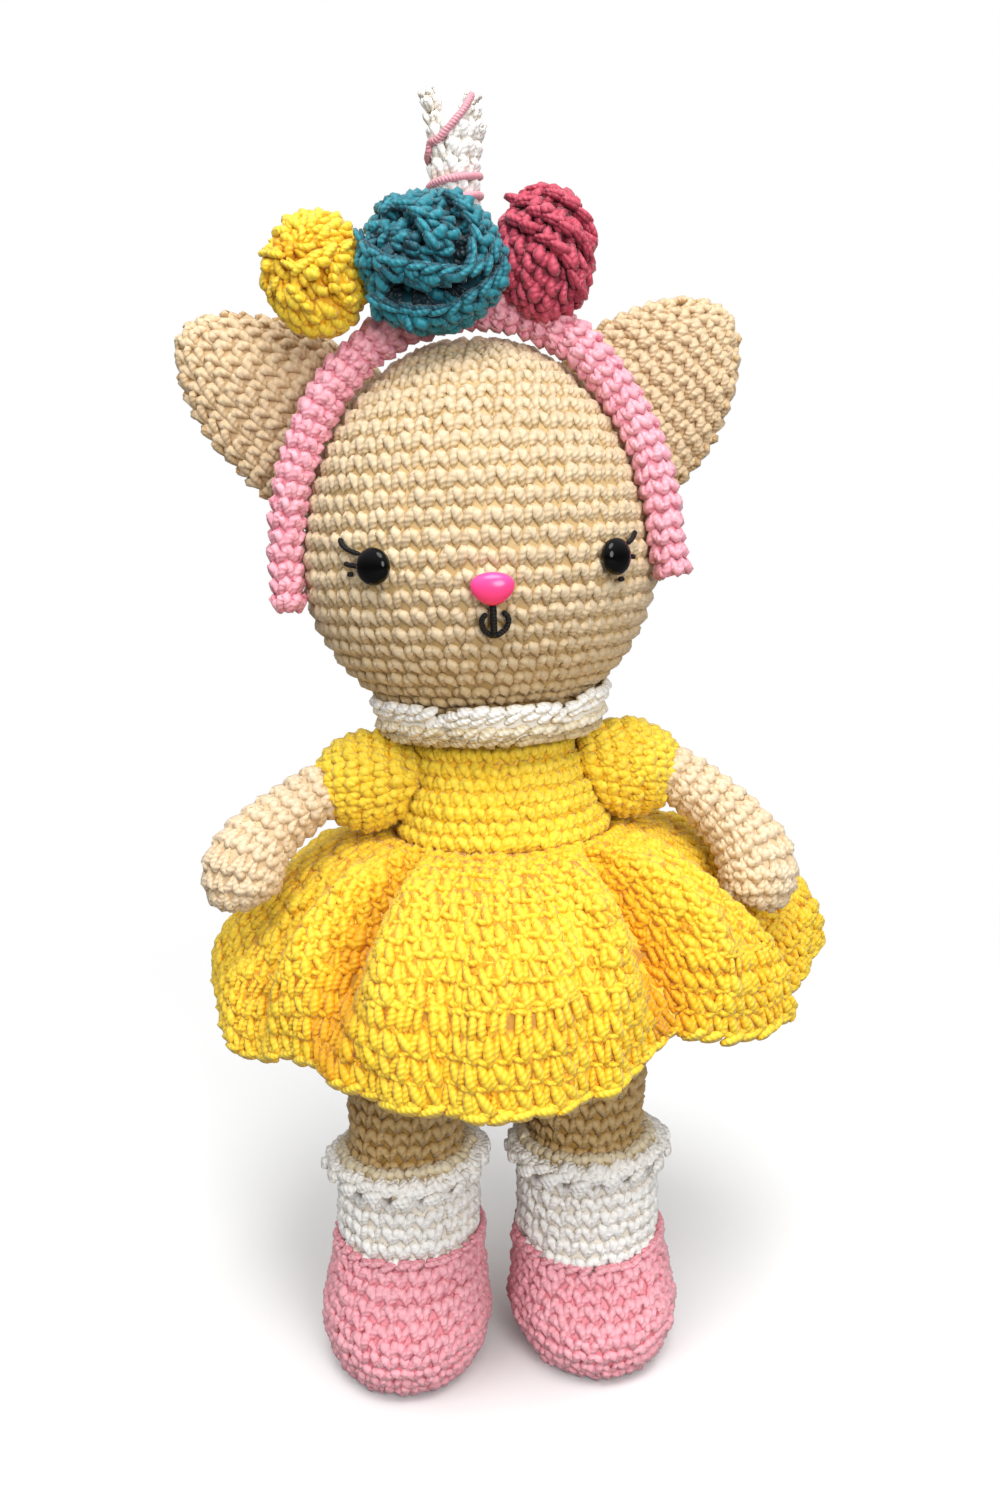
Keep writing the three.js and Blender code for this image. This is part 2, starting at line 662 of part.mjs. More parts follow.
// Creases run down from the waist: [turn, depth share of the cloth's drop]
const creaseShares = [[-0.128, 0.16], [0.1, 0.14], [0.215, 0.1], [-0.3, 0.08], [0.36, 0.09], [-0.42, 0.07]];
const creaseWidthShare = 0.024;
const creaseLengthShare = 1.05;
const skirtTop = bodiceBottom + skirtBand;
const skirtInnerWaist = waistRadius + fit;
const skirtLean = leanAt(bodiceBottom);
const handMiddle = 4;
const hands = [
  [-1, armShares.left[handMiddle][0] * leftArmReach], [1, armShares.right[handMiddle][0] * rightArmReach],
].map(([sign, out]) => [shoulderLean - skirtLean + sign * (sleeveSpacing + out), -armForwardOffset]);

function skirtPoint(turnShare, share, thick) {
  const reach = hemReach * between(hemShares, turnShare, 1);
  const drop = skirtDrop * between(hemShares, turnShare, 2) * (1 + skirtBand / skirtDrop);
  const angle = (Math.PI / 2) * share;
  let radius = skirtInnerWaist + (reach - skirtInnerWaist) * Math.sin(angle);
  let height = skirtTop - drop * (1 - Math.cos(angle));
  for (const [place, depth] of creaseShares) {
    const away = (turnShare - place) / creaseWidthShare;
    const length = Math.min(1, share * creaseLengthShare);
    radius -= skirtDrop * depth * Math.exp(-away * away) * Math.sin(Math.PI * length);
  }
  const turn = turnShare * fullTurn;
  const [x, y] = [radius * Math.sin(turn), -radius * Math.cos(turn)];
  for (const [handX, handY] of hands) {
    const away = Math.hypot(x - handX, y - handY) / handDentWidth;
    height -= handDentDepth * Math.exp(-away * away);
  }
  const slope = [Math.sin(angle), Math.cos(angle)];
  const out = radius + thick * slope[0];
  return [skirtLean + out * Math.sin(turn), -out * Math.cos(turn), height + thick * slope[1]];
}
const skirtSections = Array.from({ length: skirtSides }, (_, side) => {
  const turnShare = side / skirtSides - 0.5;
  const section = [];
  for (let ring = 0; ring <= skirtRings; ring += 1) {
    section.push(skirtPoint(turnShare, ring / skirtRings, 0));
  }
  for (let ring = skirtRings; ring >= 0; ring -= 1) {
    section.push(skirtPoint(turnShare, ring / skirtRings, -clothThickness));
  }
  return section;
});
add('skirt', loop(skirtSections), colours.yellow);

// Legs, socks with the foot inside, frills, shoes and insoles
function shoeOutline(height, full, inset, sign, sides) {
  const centreX = leanAt(0) + sign * shoeSpacing;
  return Array.from({ length: sides }, (_, side) => {
    const turn = (fullTurn * side) / sides;
    const reach = Math.sin(turn) < 0 ? shoeToeLength : shoeHeelLength;
    const x = (shoeHalfWidth * full - inset) * Math.cos(turn);
    const y = (reach * full - inset) * Math.sin(turn);
    const slant = height > shoeHeight / 2 ? shoeSlantShare * x * (2 * height / shoeHeight - 1) : 0;
    return [centreX + x, y, height + slant];
  });
}

const shoeShares = [
  [0, 0.72], [0.05, 0.84], [0.16, 0.95], [0.36, 1.01], [0.66, 0.98], [0.86, 0.93], [1, 0.9],
];
const shoeMiddleShare = 0.5;
function shoeRings(sign, inset, bottom, sides) {
  const levels = [sockBottom, ...shoeShares.map(([share]) => shoeHeight * share)].sort((a, b) => a - b);
  const heights = [bottom, ...levels.filter((height) => height > bottom)];
  return heights.map((height) => {
    const share = height / shoeHeight;
    const full = between(shoeShares, share);
    const ring = shoeOutline(height, full, inset, sign, sides);
    if (share < shoeMiddleShare) return ring;
    const centreX = leanAt(0) + sign * shoeSpacing;
    const round = (share - shoeMiddleShare) / (1 - shoeMiddleShare);
    return ring.map(([x, y, z], side) => {
      const turn = (fullTurn * side) / sides;
      const [openX, openY] = [
        centreX + (shoeOpeningRadius - inset) * Math.cos(turn),
        (shoeOpeningRadius - inset) * Math.sin(turn),
      ];
      return [x + (openX - x) * round, y + (openY - y) * round, z];
    });
  });
}

const sockFullShares = [[0.55, 1], [0.8, 0.985], [1, 0.96]];
const frillOutlineShares = [[0, 0.02], [1, 0.86], [0.94, 1.1], [0, 0.34]];
const ankleShare = 1.03;

for (const [side, sign] of [['left', -1], ['right', 1]]) {
  const outer = skin(shoeRings(sign, 0, 0, shoeSides));
  const hollowRings = shoeRings(sign, clothThickness, soleThickness, shoeSides);
  const mouth = hollowRings[hollowRings.length - 1].map(([x, y, z]) => [x, y, z + overrun]);
  add(`${side}_shoe`, cut(outer, skin([...hollowRings, mouth])), colours.shoePink);

  const insoleFull = shoeShares[0][1];
  const insoleRings = [0, insoleThickness].map((rise) => {
    return shoeOutline(insoleBottom + rise, insoleFull, clothThickness + 2 * fit, sign, shoeSides);
  });
  add(`${side}_insole`, skin(insoleRings), colours.board, 0.8);

  const footRings = shoeRings(sign, clothThickness + fit, sockBottom, shoeSides);
  footRings.push(footRings[footRings.length - 1].map(([x, y, z]) => [x, y, z + overrun / 2]));
  const sockRings = sockFullShares.map(([share, full]) => {
    const height = shoeHeight + (sockTop - shoeHeight) * share;
    const centreX = leanAt(height) + sign * legSpacing;
    return ringAt(centreX, 0, height, sockRadius * full, sockRadius * full, shoeSides);
  });
  add(`${side}_sock`, skin([...footRings, ...sockRings]), colours.white);

  const leg = skin(legRings(side, 0));
  add(`${side}_leg`, leg, colours.skin);

  const innerRadius = legRadius * ankleShare + fit;
  const frillSections = Array.from({ length: ruffleSteps }, (_, step) => {
    const turn = (fullTurn * step) / ruffleSteps;
    return frillOutlineShares.map(([out, up]) => {
      const radius = innerRadius + (frillReach - innerRadius) * out;
      const wave = frillRuffle * out * Math.sin(frillWaves * turn);
      const height = sockTop + fit + frillRise * up + wave;
      const centreX = leanAt(legBottom) + sign * legSpacing;
      return [centreX + radius * Math.cos(turn), radius * Math.sin(turn), height];
    });
  });
  add(`${side}_sock_frill`, loop(frillSections), colours.white);
}

// Headband: a stuffed cord bent over the head in front of the ears
const bandPoints = [];
const bandSteps = 30;
for (let step = 0; step <= bandSteps; step += 1) {
  const angle = Math.PI * (step / bandSteps);
  const [across, up] = [-Math.cos(angle), Math.sin(angle)];
  const reach = across < 0 ? leftBandReach : rightBandReach;
  const x = reach * Math.sign(across) * Math.pow(Math.abs(across), 2 / bandRoundnessShare);
  const y = -bandForwardOffset - rightBandForwardOffset * Math.max(0, across) ** 2;
  bandPoints.push(new THREE.Vector3(x, y, headHeight + bandRise * Math.pow(up, 2 / bandRoundnessShare)));
}
const leftBandEnd = bandPoints[0].clone();
leftBandEnd.z -= leftBandEndDrop;
const rightBandEnd = bandPoints[bandSteps].clone();
rightBandEnd.x += bandFlare;
rightBandEnd.z -= rightBandEndDrop;
const bandLine = [leftBandEnd, ...bandPoints, rightBandEnd];
function bandGeometry(grow) {
  const rings = bandLine.map((point, index) => {
    const before = bandLine[Math.max(0, index - 1)];
    const after = bandLine[Math.min(bandLine.length - 1, index + 1)];
    const along = after.clone().sub(before).normalize();
    const outward = new THREE.Vector3(-along.z, 0, along.x);
    return Array.from({ length: bandSides }, (_, side) => {
      const turn = fullTurn * ((side + 0.5) / bandSides);
      const corner = point.clone().addScaledVector(outward, (bandHalfWidth + grow) * Math.cos(turn));
      corner.y += (bandHalfDepth + grow) * Math.sin(turn);
      return corner.toArray();
    });
  });
  return skin(rings);
}
add('headband', bandGeometry(0), colours.pink);
const bandClear = bandGeometry(fit);

// Horn: a white crocheted tube behind the flowers with a forked top, wound with pink thread
const hornBase = bandApex + bandHalfWidth + fit;
const hornPlace = [hornAsideOffset, -bandForwardOffset];
// [share of the horn's height, how far aside, how full], the last two as shares of its radius
const hornShares = [[0, 0, 1], [0.55, 0, 0.97], [0.82, 0.14, 1.07], [1, -0.04, 1]];
const hornSteps = 8;
function hornRing(share, grow) {
  const middleX = hornPlace[0] + hornRadius * between(hornShares, share, 1);
  const radius = hornRadius * between(hornShares, share, 2) + grow;
  return ringAt(middleX, hornPlace[1], hornBase + hornHeight * share, radius, radius, roseSides);
}
const hornStepShares = Array.from({ length: hornSteps + 1 }, (_, step) => step / hornSteps);
const hornBody = skin(hornStepShares.map((share) => hornRing(share, 0)));
const notchShares = [[-0.38, 0], [-0.5, 1.2], [0.86, 1.2]];
const notch = new THREE.Shape();
notchShares.forEach(([across, up], index) => {
  const [x, z] = [hornRadius * across, hornNotchDepth * up];
  if (index === 0) notch.moveTo(x, z);
  else notch.lineTo(x, z);
});
const notchDepth = 4 * hornRadius;
const notchCutter = new THREE.ExtrudeGeometry(notch, { depth: notchDepth, bevelEnabled: false });
notchCutter.rotateX(Math.PI / 2).translate(hornPlace[0], hornPlace[1] + notchDepth / 2, 0);
notchCutter.translate(0, 0, hornBase + hornHeight - hornNotchDepth);
add('horn', cut(hornBody, notchCutter), colours.white);

// The thread winds down from the tip of the right prong: [turns, share of the horn's height]
const windingShares = [
  [0, 0.047], [0.22, 0.254], [0.31, 0.27], [0.36, 0.32], [0.6, 0.37], [0.88, 0.43],
  [1.13, 0.465], [1.38, 0.49], [1.88, 0.53], [2.13, 0.57], [2.5, 0.66],
];
const windingStartShare = -0.12;
const windingSteps = 44;
const windingReach = 2 * fit + threadRadius;
const windingPath = new THREE.SplineCurve(windingShares.map((row) => new THREE.Vector2(...row)));
const windingPoints = windingPath.getPoints(windingSteps).map(({ x: wound, y: drop }) => {
  const turn = fullTurn * (windingStartShare - wound);
  const share = 1 - drop;
  const middleX = hornPlace[0] + hornRadius * between(hornShares, share, 1);
  const radius = hornRadius * between(hornShares, share, 2) + windingReach;
  const [x, y] = [middleX + radius * Math.cos(turn), hornPlace[1] + radius * Math.sin(turn)];
  return new THREE.Vector3(x, y, hornBase + hornHeight * share);
});
add('horn_thread', thread(windingPoints, threadRadius, windingSteps), colours.threadPink);

// Flowers: crocheted strips rolled into flattened balls, sewn to the front of the band. Each one's place,
// as shares of its radius, is aside from the middle, forward of the band and above the band
const rosePlaceShares = {
  teal: [-0.465, 0.48, 0.23], yellow: [-2.51, 0.3, 0.235], raspberry: [1.19, 0.35, 0.45],
};
const roseRadii = { teal: tealRoseRadius, yellow: sideRoseRadius, raspberry: sideRoseRadius };
const roseTurns = 6;
const rosePoleShare = 0.35;
function roseGeometry(name, grow) {
  const radius = roseRadii[name];
  const [aside, forward, above] = rosePlaceShares[name].map((share) => share * radius);
  const [x, y, z] = [aside, -bandForwardOffset - forward, bandApex + bandHalfWidth + above];
  const rings = [];
  for (let ring = 0; ring <= roseRings; ring += 1) {
    const pole = (Math.PI * (ring + rosePoleShare)) / (roseRings + 2 * rosePoleShare);
    rings.push(Array.from({ length: roseSides }, (_, side) => {
      const turn = (fullTurn * side) / roseSides;
      const groove = grow > 0 ? 0 : (roseGrooveDepth / 2) * (1 - Math.cos(turn + roseTurns * pole));
      const full = radius + grow - groove * Math.sin(pole);
      return [
        x + full * Math.sin(pole) * Math.cos(turn),
        y - full * roseFlatShare * Math.cos(pole),
        z + full * roseTallShares[name] * Math.sin(pole) * Math.sin(turn),
      ];
    }));
  }
  return skin(rings);
}
const windingClear = skin(hornStepShares.map((share) => hornRing(share, windingReach + threadRadius + fit)));
windingClear.translate(0, 0, -fit);
const tealClear = roseGeometry('teal', fit);
add('teal_rose', cut(roseGeometry('teal', 0), bandClear, windingClear), colours.teal);
add('yellow_rose', cut(roseGeometry('yellow', 0), bandClear, tealClear, windingClear), colours.yellow);
const raspberryRose = roseGeometry('raspberry', 0);
add('raspberry_rose', cut(raspberryRose, bandClear, tealClear, windingClear), colours.raspberry);

// The origin is the middle of the whole doll's footprint, on the floor
const extent = new THREE.Box3().setFromObject(doll);
doll.position.set(-(extent.min.x + extent.max.x) / 2, -(extent.min.y + extent.max.y) / 2, -extent.min.z);
doll.updateMatrixWorld(true);

export default doll;
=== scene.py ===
import math

import bpy
import numpy as np
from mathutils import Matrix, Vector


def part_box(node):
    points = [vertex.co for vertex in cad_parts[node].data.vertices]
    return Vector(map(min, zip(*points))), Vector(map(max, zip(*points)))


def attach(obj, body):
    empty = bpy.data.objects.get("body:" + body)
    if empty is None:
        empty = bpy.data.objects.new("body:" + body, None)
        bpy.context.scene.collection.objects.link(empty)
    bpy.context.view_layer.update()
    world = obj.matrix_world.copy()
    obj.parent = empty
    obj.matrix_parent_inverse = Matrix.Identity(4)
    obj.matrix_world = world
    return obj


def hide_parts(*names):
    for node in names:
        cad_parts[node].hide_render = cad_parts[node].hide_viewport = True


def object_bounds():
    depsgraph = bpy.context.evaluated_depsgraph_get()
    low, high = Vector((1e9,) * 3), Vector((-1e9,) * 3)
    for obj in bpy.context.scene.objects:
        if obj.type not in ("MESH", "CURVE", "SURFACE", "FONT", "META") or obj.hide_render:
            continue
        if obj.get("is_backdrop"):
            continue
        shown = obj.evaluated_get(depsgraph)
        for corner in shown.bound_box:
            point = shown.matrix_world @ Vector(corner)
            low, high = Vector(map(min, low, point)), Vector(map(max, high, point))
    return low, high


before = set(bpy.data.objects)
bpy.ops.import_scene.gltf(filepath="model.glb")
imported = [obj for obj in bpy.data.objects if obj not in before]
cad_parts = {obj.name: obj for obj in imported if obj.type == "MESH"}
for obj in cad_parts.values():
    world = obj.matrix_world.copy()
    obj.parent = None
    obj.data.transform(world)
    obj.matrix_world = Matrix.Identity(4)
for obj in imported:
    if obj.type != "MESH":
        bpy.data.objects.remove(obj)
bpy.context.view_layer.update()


# Camera
# A small camera held close to the doll, a little above its face and to its left, tipped down and
# turned slightly in the hand. Its place is given from the doll's own upright axis, in millimetres.
def box(node):
    """Lowest and highest corner of a CAD node, in millimetres."""
    low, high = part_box(node)
    return np.array(low) * 1000, np.array(high) * 1000


def metres(points):
    return np.asarray(points, float) * 0.001


head_low, head_high = box("head_cover")
axis_x, axis_y = ((head_low + head_high) / 2)[:2]
camera_place = np.array([axis_x - 20.5, axis_y - 299.1, 206.0])
camera_turn, camera_dip, camera_roll = (math.radians(a) for a in (4.5, 10.0, 2.2))
ahead = np.array([
    math.sin(camera_turn) * math.cos(camera_dip),
    math.cos(camera_turn) * math.cos(camera_dip),
    -math.sin(camera_dip),
])
level = np.cross(ahead, [0, 0, 1])
level /= np.linalg.norm(level)
upward = np.cross(level, ahead)
camera_right = level * math.cos(camera_roll) - upward * math.sin(camera_roll)
camera_up = upward * math.cos(camera_roll) + level * math.sin(camera_roll)
camera = bpy.data.objects.new("camera", bpy.data.cameras.new("camera"))
camera.data.sensor_width = 36
camera.data.lens = 30.6
camera.data.clip_start = 0.01
view_frame = np.eye(4)
view_frame[:3] = np.column_stack([camera_right, camera_up, -ahead, metres(camera_place)])
camera.matrix_world = [list(column) for column in view_frame.T]
bpy.context.scene.collection.objects.link(camera)
bpy.context.scene.camera = camera


# Table and light
# A white sweep of paper under soft light: a wide lamp above and in front, a fill at the left and an even
# white surround. Near the feet the paper takes the doll's shadow, and further off it is plain white.
def colour(text):
    """Linear colour of an sRGB hex value."""
    parts = [int(text[i:i + 2], 16) / 255 for i in (1, 3, 5)]
    return [p / 12.92 if p <= 0.04045 else ((p + 0.055) / 1.055) ** 2.4 for p in parts] + [1.0]


def node(tree, kind, inputs=(), **settings):
    """Adds a node with its settings and its inputs' values or links, and gives its outputs."""
    made = tree.nodes.new("ShaderNode" + kind)
    for name, value in settings.items():
        setattr(made, name, value)
    for socket, value in dict(inputs).items():
        if isinstance(value, bpy.types.NodeSocket):
            tree.links.new(value, made.inputs[socket])
        else:
            made.inputs[socket].default_value = value
    return made.outputs


def spread(tree, value, low, high, first=0.0, last=1.0, kind="LINEAR"):
    """A value's place between low and high, as a number from first to last."""
    return node(tree, "MapRange", {0: value, 1: low, 2: high, 3: first, 4: last}, interpolation_type=kind)[0]


def blend(tree, share, first, last):
    """A colour between two, given as hex values or links."""
    first, last = (colour(end) if isinstance(end, str) else end for end in (first, last))
    return node(tree, "Mix", {0: share, 6: first, 7: last}, data_type="RGBA")[2]


def new_material(name):
    material = bpy.data.materials.new(name)
    material.use_nodes = True
    material.node_tree.nodes.clear()
    return material, material.node_tree


paper_reach = 3.0
paper_clear, paper_lit = 0.42, 0.17
paper, tree = new_material("matt_white_paper")
path = node(tree, "LightPath")
place = node(tree, "TexCoord")["Object"]
away = node(tree, "VectorMath", {0: place}, operation="LENGTH")["Value"]
far = spread(tree, away, paper_lit, paper_clear, kind="SMOOTHSTEP")
seen = path["Is Camera Ray"]
plain = node(tree, "Math", {0: seen, 1: far}, operation="MULTIPLY")[0]
# Painted shade: light bounced off the paper onto the doll takes a grey colour, so the doll's undersides are
# darker than over white paper
shown = blend(tree, seen, "#848484", "#FCFCFC")
matt = node(tree, "BsdfDiffuse", {"Color": shown})[0]
white = node(tree, "Emission", {"Color": colour("#FFFFFF"), "Strength": 1.0})[0]
mixed = node(tree, "MixShader", {0: plain, 1: matt, 2: white})[0]
node(tree, "OutputMaterial", {"Surface": mixed})
paper_mesh = bpy.data.meshes.new("paper")
corners = [(sx * paper_reach, sy * paper_reach, 0) for sx, sy in ((-1, -1), (1, -1), (1, 1), (-1, 1))]
paper_mesh.from_pydata(corners, [], [(0, 1, 2, 3)])
paper_mesh.materials.append(paper)
paper_sheet = bpy.data.objects.new("paper", paper_mesh)
bpy.context.scene.collection.objects.link(paper_sheet)
paper_sheet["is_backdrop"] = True

world = bpy.data.worlds.new("white_surround")
bpy.context.scene.world = world
world.use_nodes = True
world.node_tree.nodes.clear()
tree = world.node_tree
path = node(tree, "LightPath")
rising = node(tree, "SeparateXYZ", {0: node(tree, "TexCoord")["Generated"]})["Z"]
# Dim light from below and bright light from above
overcast = spread(tree, rising, -0.1, 0.9, 0.10, 0.82, kind="SMOOTHSTEP")
soft = node(tree, "Background", {"Color": colour("#FFFFFF"), "Strength": overcast})[0]
clear = node(tree, "Background", {"Color": colour("#FFFFFF"), "Strength": 1.0})[0]
surround = node(tree, "MixShader", {0: path["Is Camera Ray"], 1: soft, 2: clear})[0]
node(tree, "OutputWorld", {"Surface": surround})

# Each lamp's place, what it aims at, its width and its power
lamps = {
    "top_lamp": ((0.05, -0.38, 0.82), (0, 0, 0.14), 0.45, 4.1),
    "front_lamp": ((0.22, -0.74, 0.36), (0, 0, 0.08), 0.36, 3.3),
    "fill_lamp": ((-0.50, -0.40, 0.62), (0, 0, 0.15), 0.60, 1.4),
}
for name, (stand, aim, width, power) in lamps.items():
    lamp = bpy.data.objects.new(name, bpy.data.lights.new(name, "AREA"))
    lamp.data.shape = "DISK"
    lamp.data.size = width
    lamp.data.energy = power
    direction = np.array(aim, float) - np.array(stand, float)
    lamp.location = stand
    lamp.visible_glossy = name != "fill_lamp"
    lamp.rotation_euler = Vector(direction).to_track_quat("-Z", "Y").to_euler()
    bpy.context.scene.collection.objects.link(lamp)
bpy.context.scene.view_settings.view_transform = "Standard"


# Shoes
# Two pink slippers, crocheted in rounds from the middle of the sole outward and up to the rim. The yarn is
# mercerised cotton, about 1.9 mm thick, four plies. Each sits on its sock with a stiff disc under the foot.
full_turn = 2 * math.pi
turns = np.linspace(0, full_turn, 120, endpoint=False)
sides_of = {"left": -1, "right": 1}
yarn_wide, yarn_tall, ply_pitch = 3.55, 3.8, 1.15
# How much hand-made stitches differ: a round's start, and a stitch's turn, tone, thickness and place
start_spread, turn_spread, tone_spread, plump_spread = 0.06, 5.0, 0.16, 0.07
place_spread = [0.04, 0.04, 0.025]


def unit(vectors):
    return vectors / np.maximum(np.linalg.norm(vectors, axis=-1, keepdims=True), 1e-9)


def ease(rows, place, column=1):
    """Smooth value between given [place, value, ...] rows."""
    places = [row[0] for row in rows]
    values = [row[column] for row in rows]
    place = np.clip(place, places[0], places[-1])
    low = np.clip(np.searchsorted(places, place, side="right") - 1, 0, len(rows) - 2)
    places, values = np.array(places), np.array(values)
    share = (place - places[low]) / (places[low + 1] - places[low])
    return values[low] + (values[low + 1] - values[low]) * share * share * (3 - 2 * share)


def on_surface(rings, row, column, closed):
    """Points of a surface, given as rings of points, at fractional rows and columns."""
    rows, columns = rings.shape[:2]
    row, column = np.broadcast_arrays(np.asarray(row, float), np.asarray(column, float))
    below = np.clip(np.floor(row).astype(int), 0, rows - 2)
    up = (row - below)[..., None]
    left = np.floor(column).astype(int)
    if not closed:
        left = np.clip(left, 0, columns - 2)
    along = (column - left)[..., None]
    left, right = left % columns, (left + 1) % columns
    low = rings[below, left] * (1 - along) + rings[below, right] * along
    high = rings[below + 1, left] * (1 - along) + rings[below + 1, right] * along
    return low * (1 - up) + high * up


def row_places(rings, tall):
    """Where the rounds of stitches begin and end, as fractional rows of a surface."""
    steps = np.median(np.linalg.norm(np.diff(rings, axis=0), axis=2), axis=1)
    along = np.concatenate([[0], np.cumsum(steps)])
    rounds = max(1, round(along[-1] / tall))
    return np.interp(np.linspace(0, along[-1], rounds + 1), along, np.arange(len(along)))


def stitch_places(rings, seed, wide=yarn_wide, tall=yarn_tall, closed=True, side=1, slant=0.17, keep=None,
                  centre=None, loose=1.3, least=5):
    """A stitch at each place of a crocheted surface: its middle, and its directions across, up and out."""
    dice = np.random.default_rng(seed)
    edges = row_places(rings, tall)
    columns = rings.shape[1]
    centre = rings.reshape(-1, 3).mean(0) if centre is None else np.asarray(centre)
    found = {"at": [], "up": [], "out": [], "wide": [], "tall": []}
    phase = dice.random()
    for low, high in zip(edges[:-1], edges[1:]):
        middle = (low + high) / 2
        stops = np.arange(columns + 1 if closed else columns)
        line = on_surface(rings, middle, stops, closed)
        run = np.concatenate([[0], np.cumsum(np.linalg.norm(np.diff(line, axis=0), axis=1))])
        count = max(least, round(run[-1] / wide))
        phase = (phase + slant + start_spread * (dice.random() - 0.5)) % 1
        shares = (np.arange(count) + (phase if closed else 0.5)) / count
        column = np.interp(shares % 1 * run[-1], run, stops)
        half = 0.5 * columns / count
        at = on_surface(rings, middle, column, closed)
        up = on_surface(rings, high, column, closed) - on_surface(rings, low, column, closed)
        ahead, behind = (on_surface(rings, middle, column + way, closed) for way in (half, -half))
        across = ahead - behind
        sizes = np.full(count, run[-1] / count), np.linalg.norm(up, axis=1)
        for kind, value in zip(found, (at, up, unit(np.cross(across, up)), *sizes)):
            found[kind].append(value)
    made = {kind: np.concatenate(value) for kind, value in found.items()}
    facing = np.sign(((made["at"] - centre) * made["out"]).sum())
    made["out"] = made["out"] * facing * side
    made["up"] = unit(made["up"])
    made["across"] = np.cross(made["up"], made["out"])
    count = len(made["at"])
    turn = np.radians(turn_spread) * loose * dice.normal(size=(count, 1))
    across, up = made["across"], made["up"]
    made["across"] = across * np.cos(turn) + up * np.sin(turn)
    made["up"] = up * np.cos(turn) - across * np.sin(turn)
    shift = dice.normal(size=(count, 3)) * loose * place_spread
    made["at"] = made["at"] + yarn_wide * (
        made["across"] * shift[:, :1] + made["up"] * shift[:, 1:2] + made["out"] * shift[:, 2:]
    )
    made["tone"] = np.clip(dice.normal(0.5, tone_spread, count), 0, 1)
    made["plump"] = 1 + plump_spread * loose * dice.normal(size=count)
    # Shade painted on each stitch, none yet
    made["dim"] = np.zeros(count)
    if keep is not None:
        kept = keep(made["at"])
        made = {key: value[kept] for key, value in made.items()}
    return made


# A single crochet seen from the right side: two legs of a V, plump over the round's top and close at its
# foot, given as shares of the stitch's width, height and width again outward, and the yarn's thickness
single = [
    ([(-0.60, 0.22, -0.02), (-0.26, 0.60, 0.38), (-0.08, -0.56, -0.12)], 0.37),
    ([(0.50, 0.34, 0.0), (0.24, 0.44, 0.32), (0.16, -0.54, -0.12)], 0.355),
]
# The same stitch worked tighter, its legs almost level all the way down
snug = [
    ([(-0.54, 0.20, -0.06), (-0.20, 0.66, 0.34), (0.02, -0.58, -0.04)], 0.365),
    ([(0.50, 0.38, -0.04), (0.26, 0.40, 0.28), (0.10, -0.54, -0.04)], 0.35),
]


# A strand is thin at its tips, and a little thinner at its foot than over its top
tip_share, tip_start, top_share, foot_thinning, cap_share = 0.42, 0.07, 1.06, 0.2, 0.55
# How strongly the height over the cloth paints shade into the yarn's colour, and how much lighter the first
# strand and darker the others are painted
depth_gain, depth_start, painted_strand_shading = 2.0, 0.3, (0.1, -0.08, -0.08)


def ring_faces(rows, columns, ends=True, round_again=False):
    """Faces between rings of numbered points, and the fans to the two points that follow them."""
    spans = rows if round_again else rows - 1
    ring, column = np.meshgrid(np.arange(spans), np.arange(columns), indexing="ij")
    above, after = (ring + 1) % rows * columns, (column + 1) % columns
    ring = ring * columns
    corners = [ring + column, ring + after, above + after, above + column]
    quads, fans = np.stack(corners, -1).reshape(-1, 4), np.zeros((0, 3), int)
    if ends:
        column = np.arange(columns)
        after, top = (column + 1) % columns, (rows - 1) * columns
        fans = np.concatenate([
            np.stack([after, column, np.full(columns, rows * columns)], -1),
            np.stack([top + column, top + after, np.full(columns, rows * columns + 1)], -1),
        ])
    return quads, fans


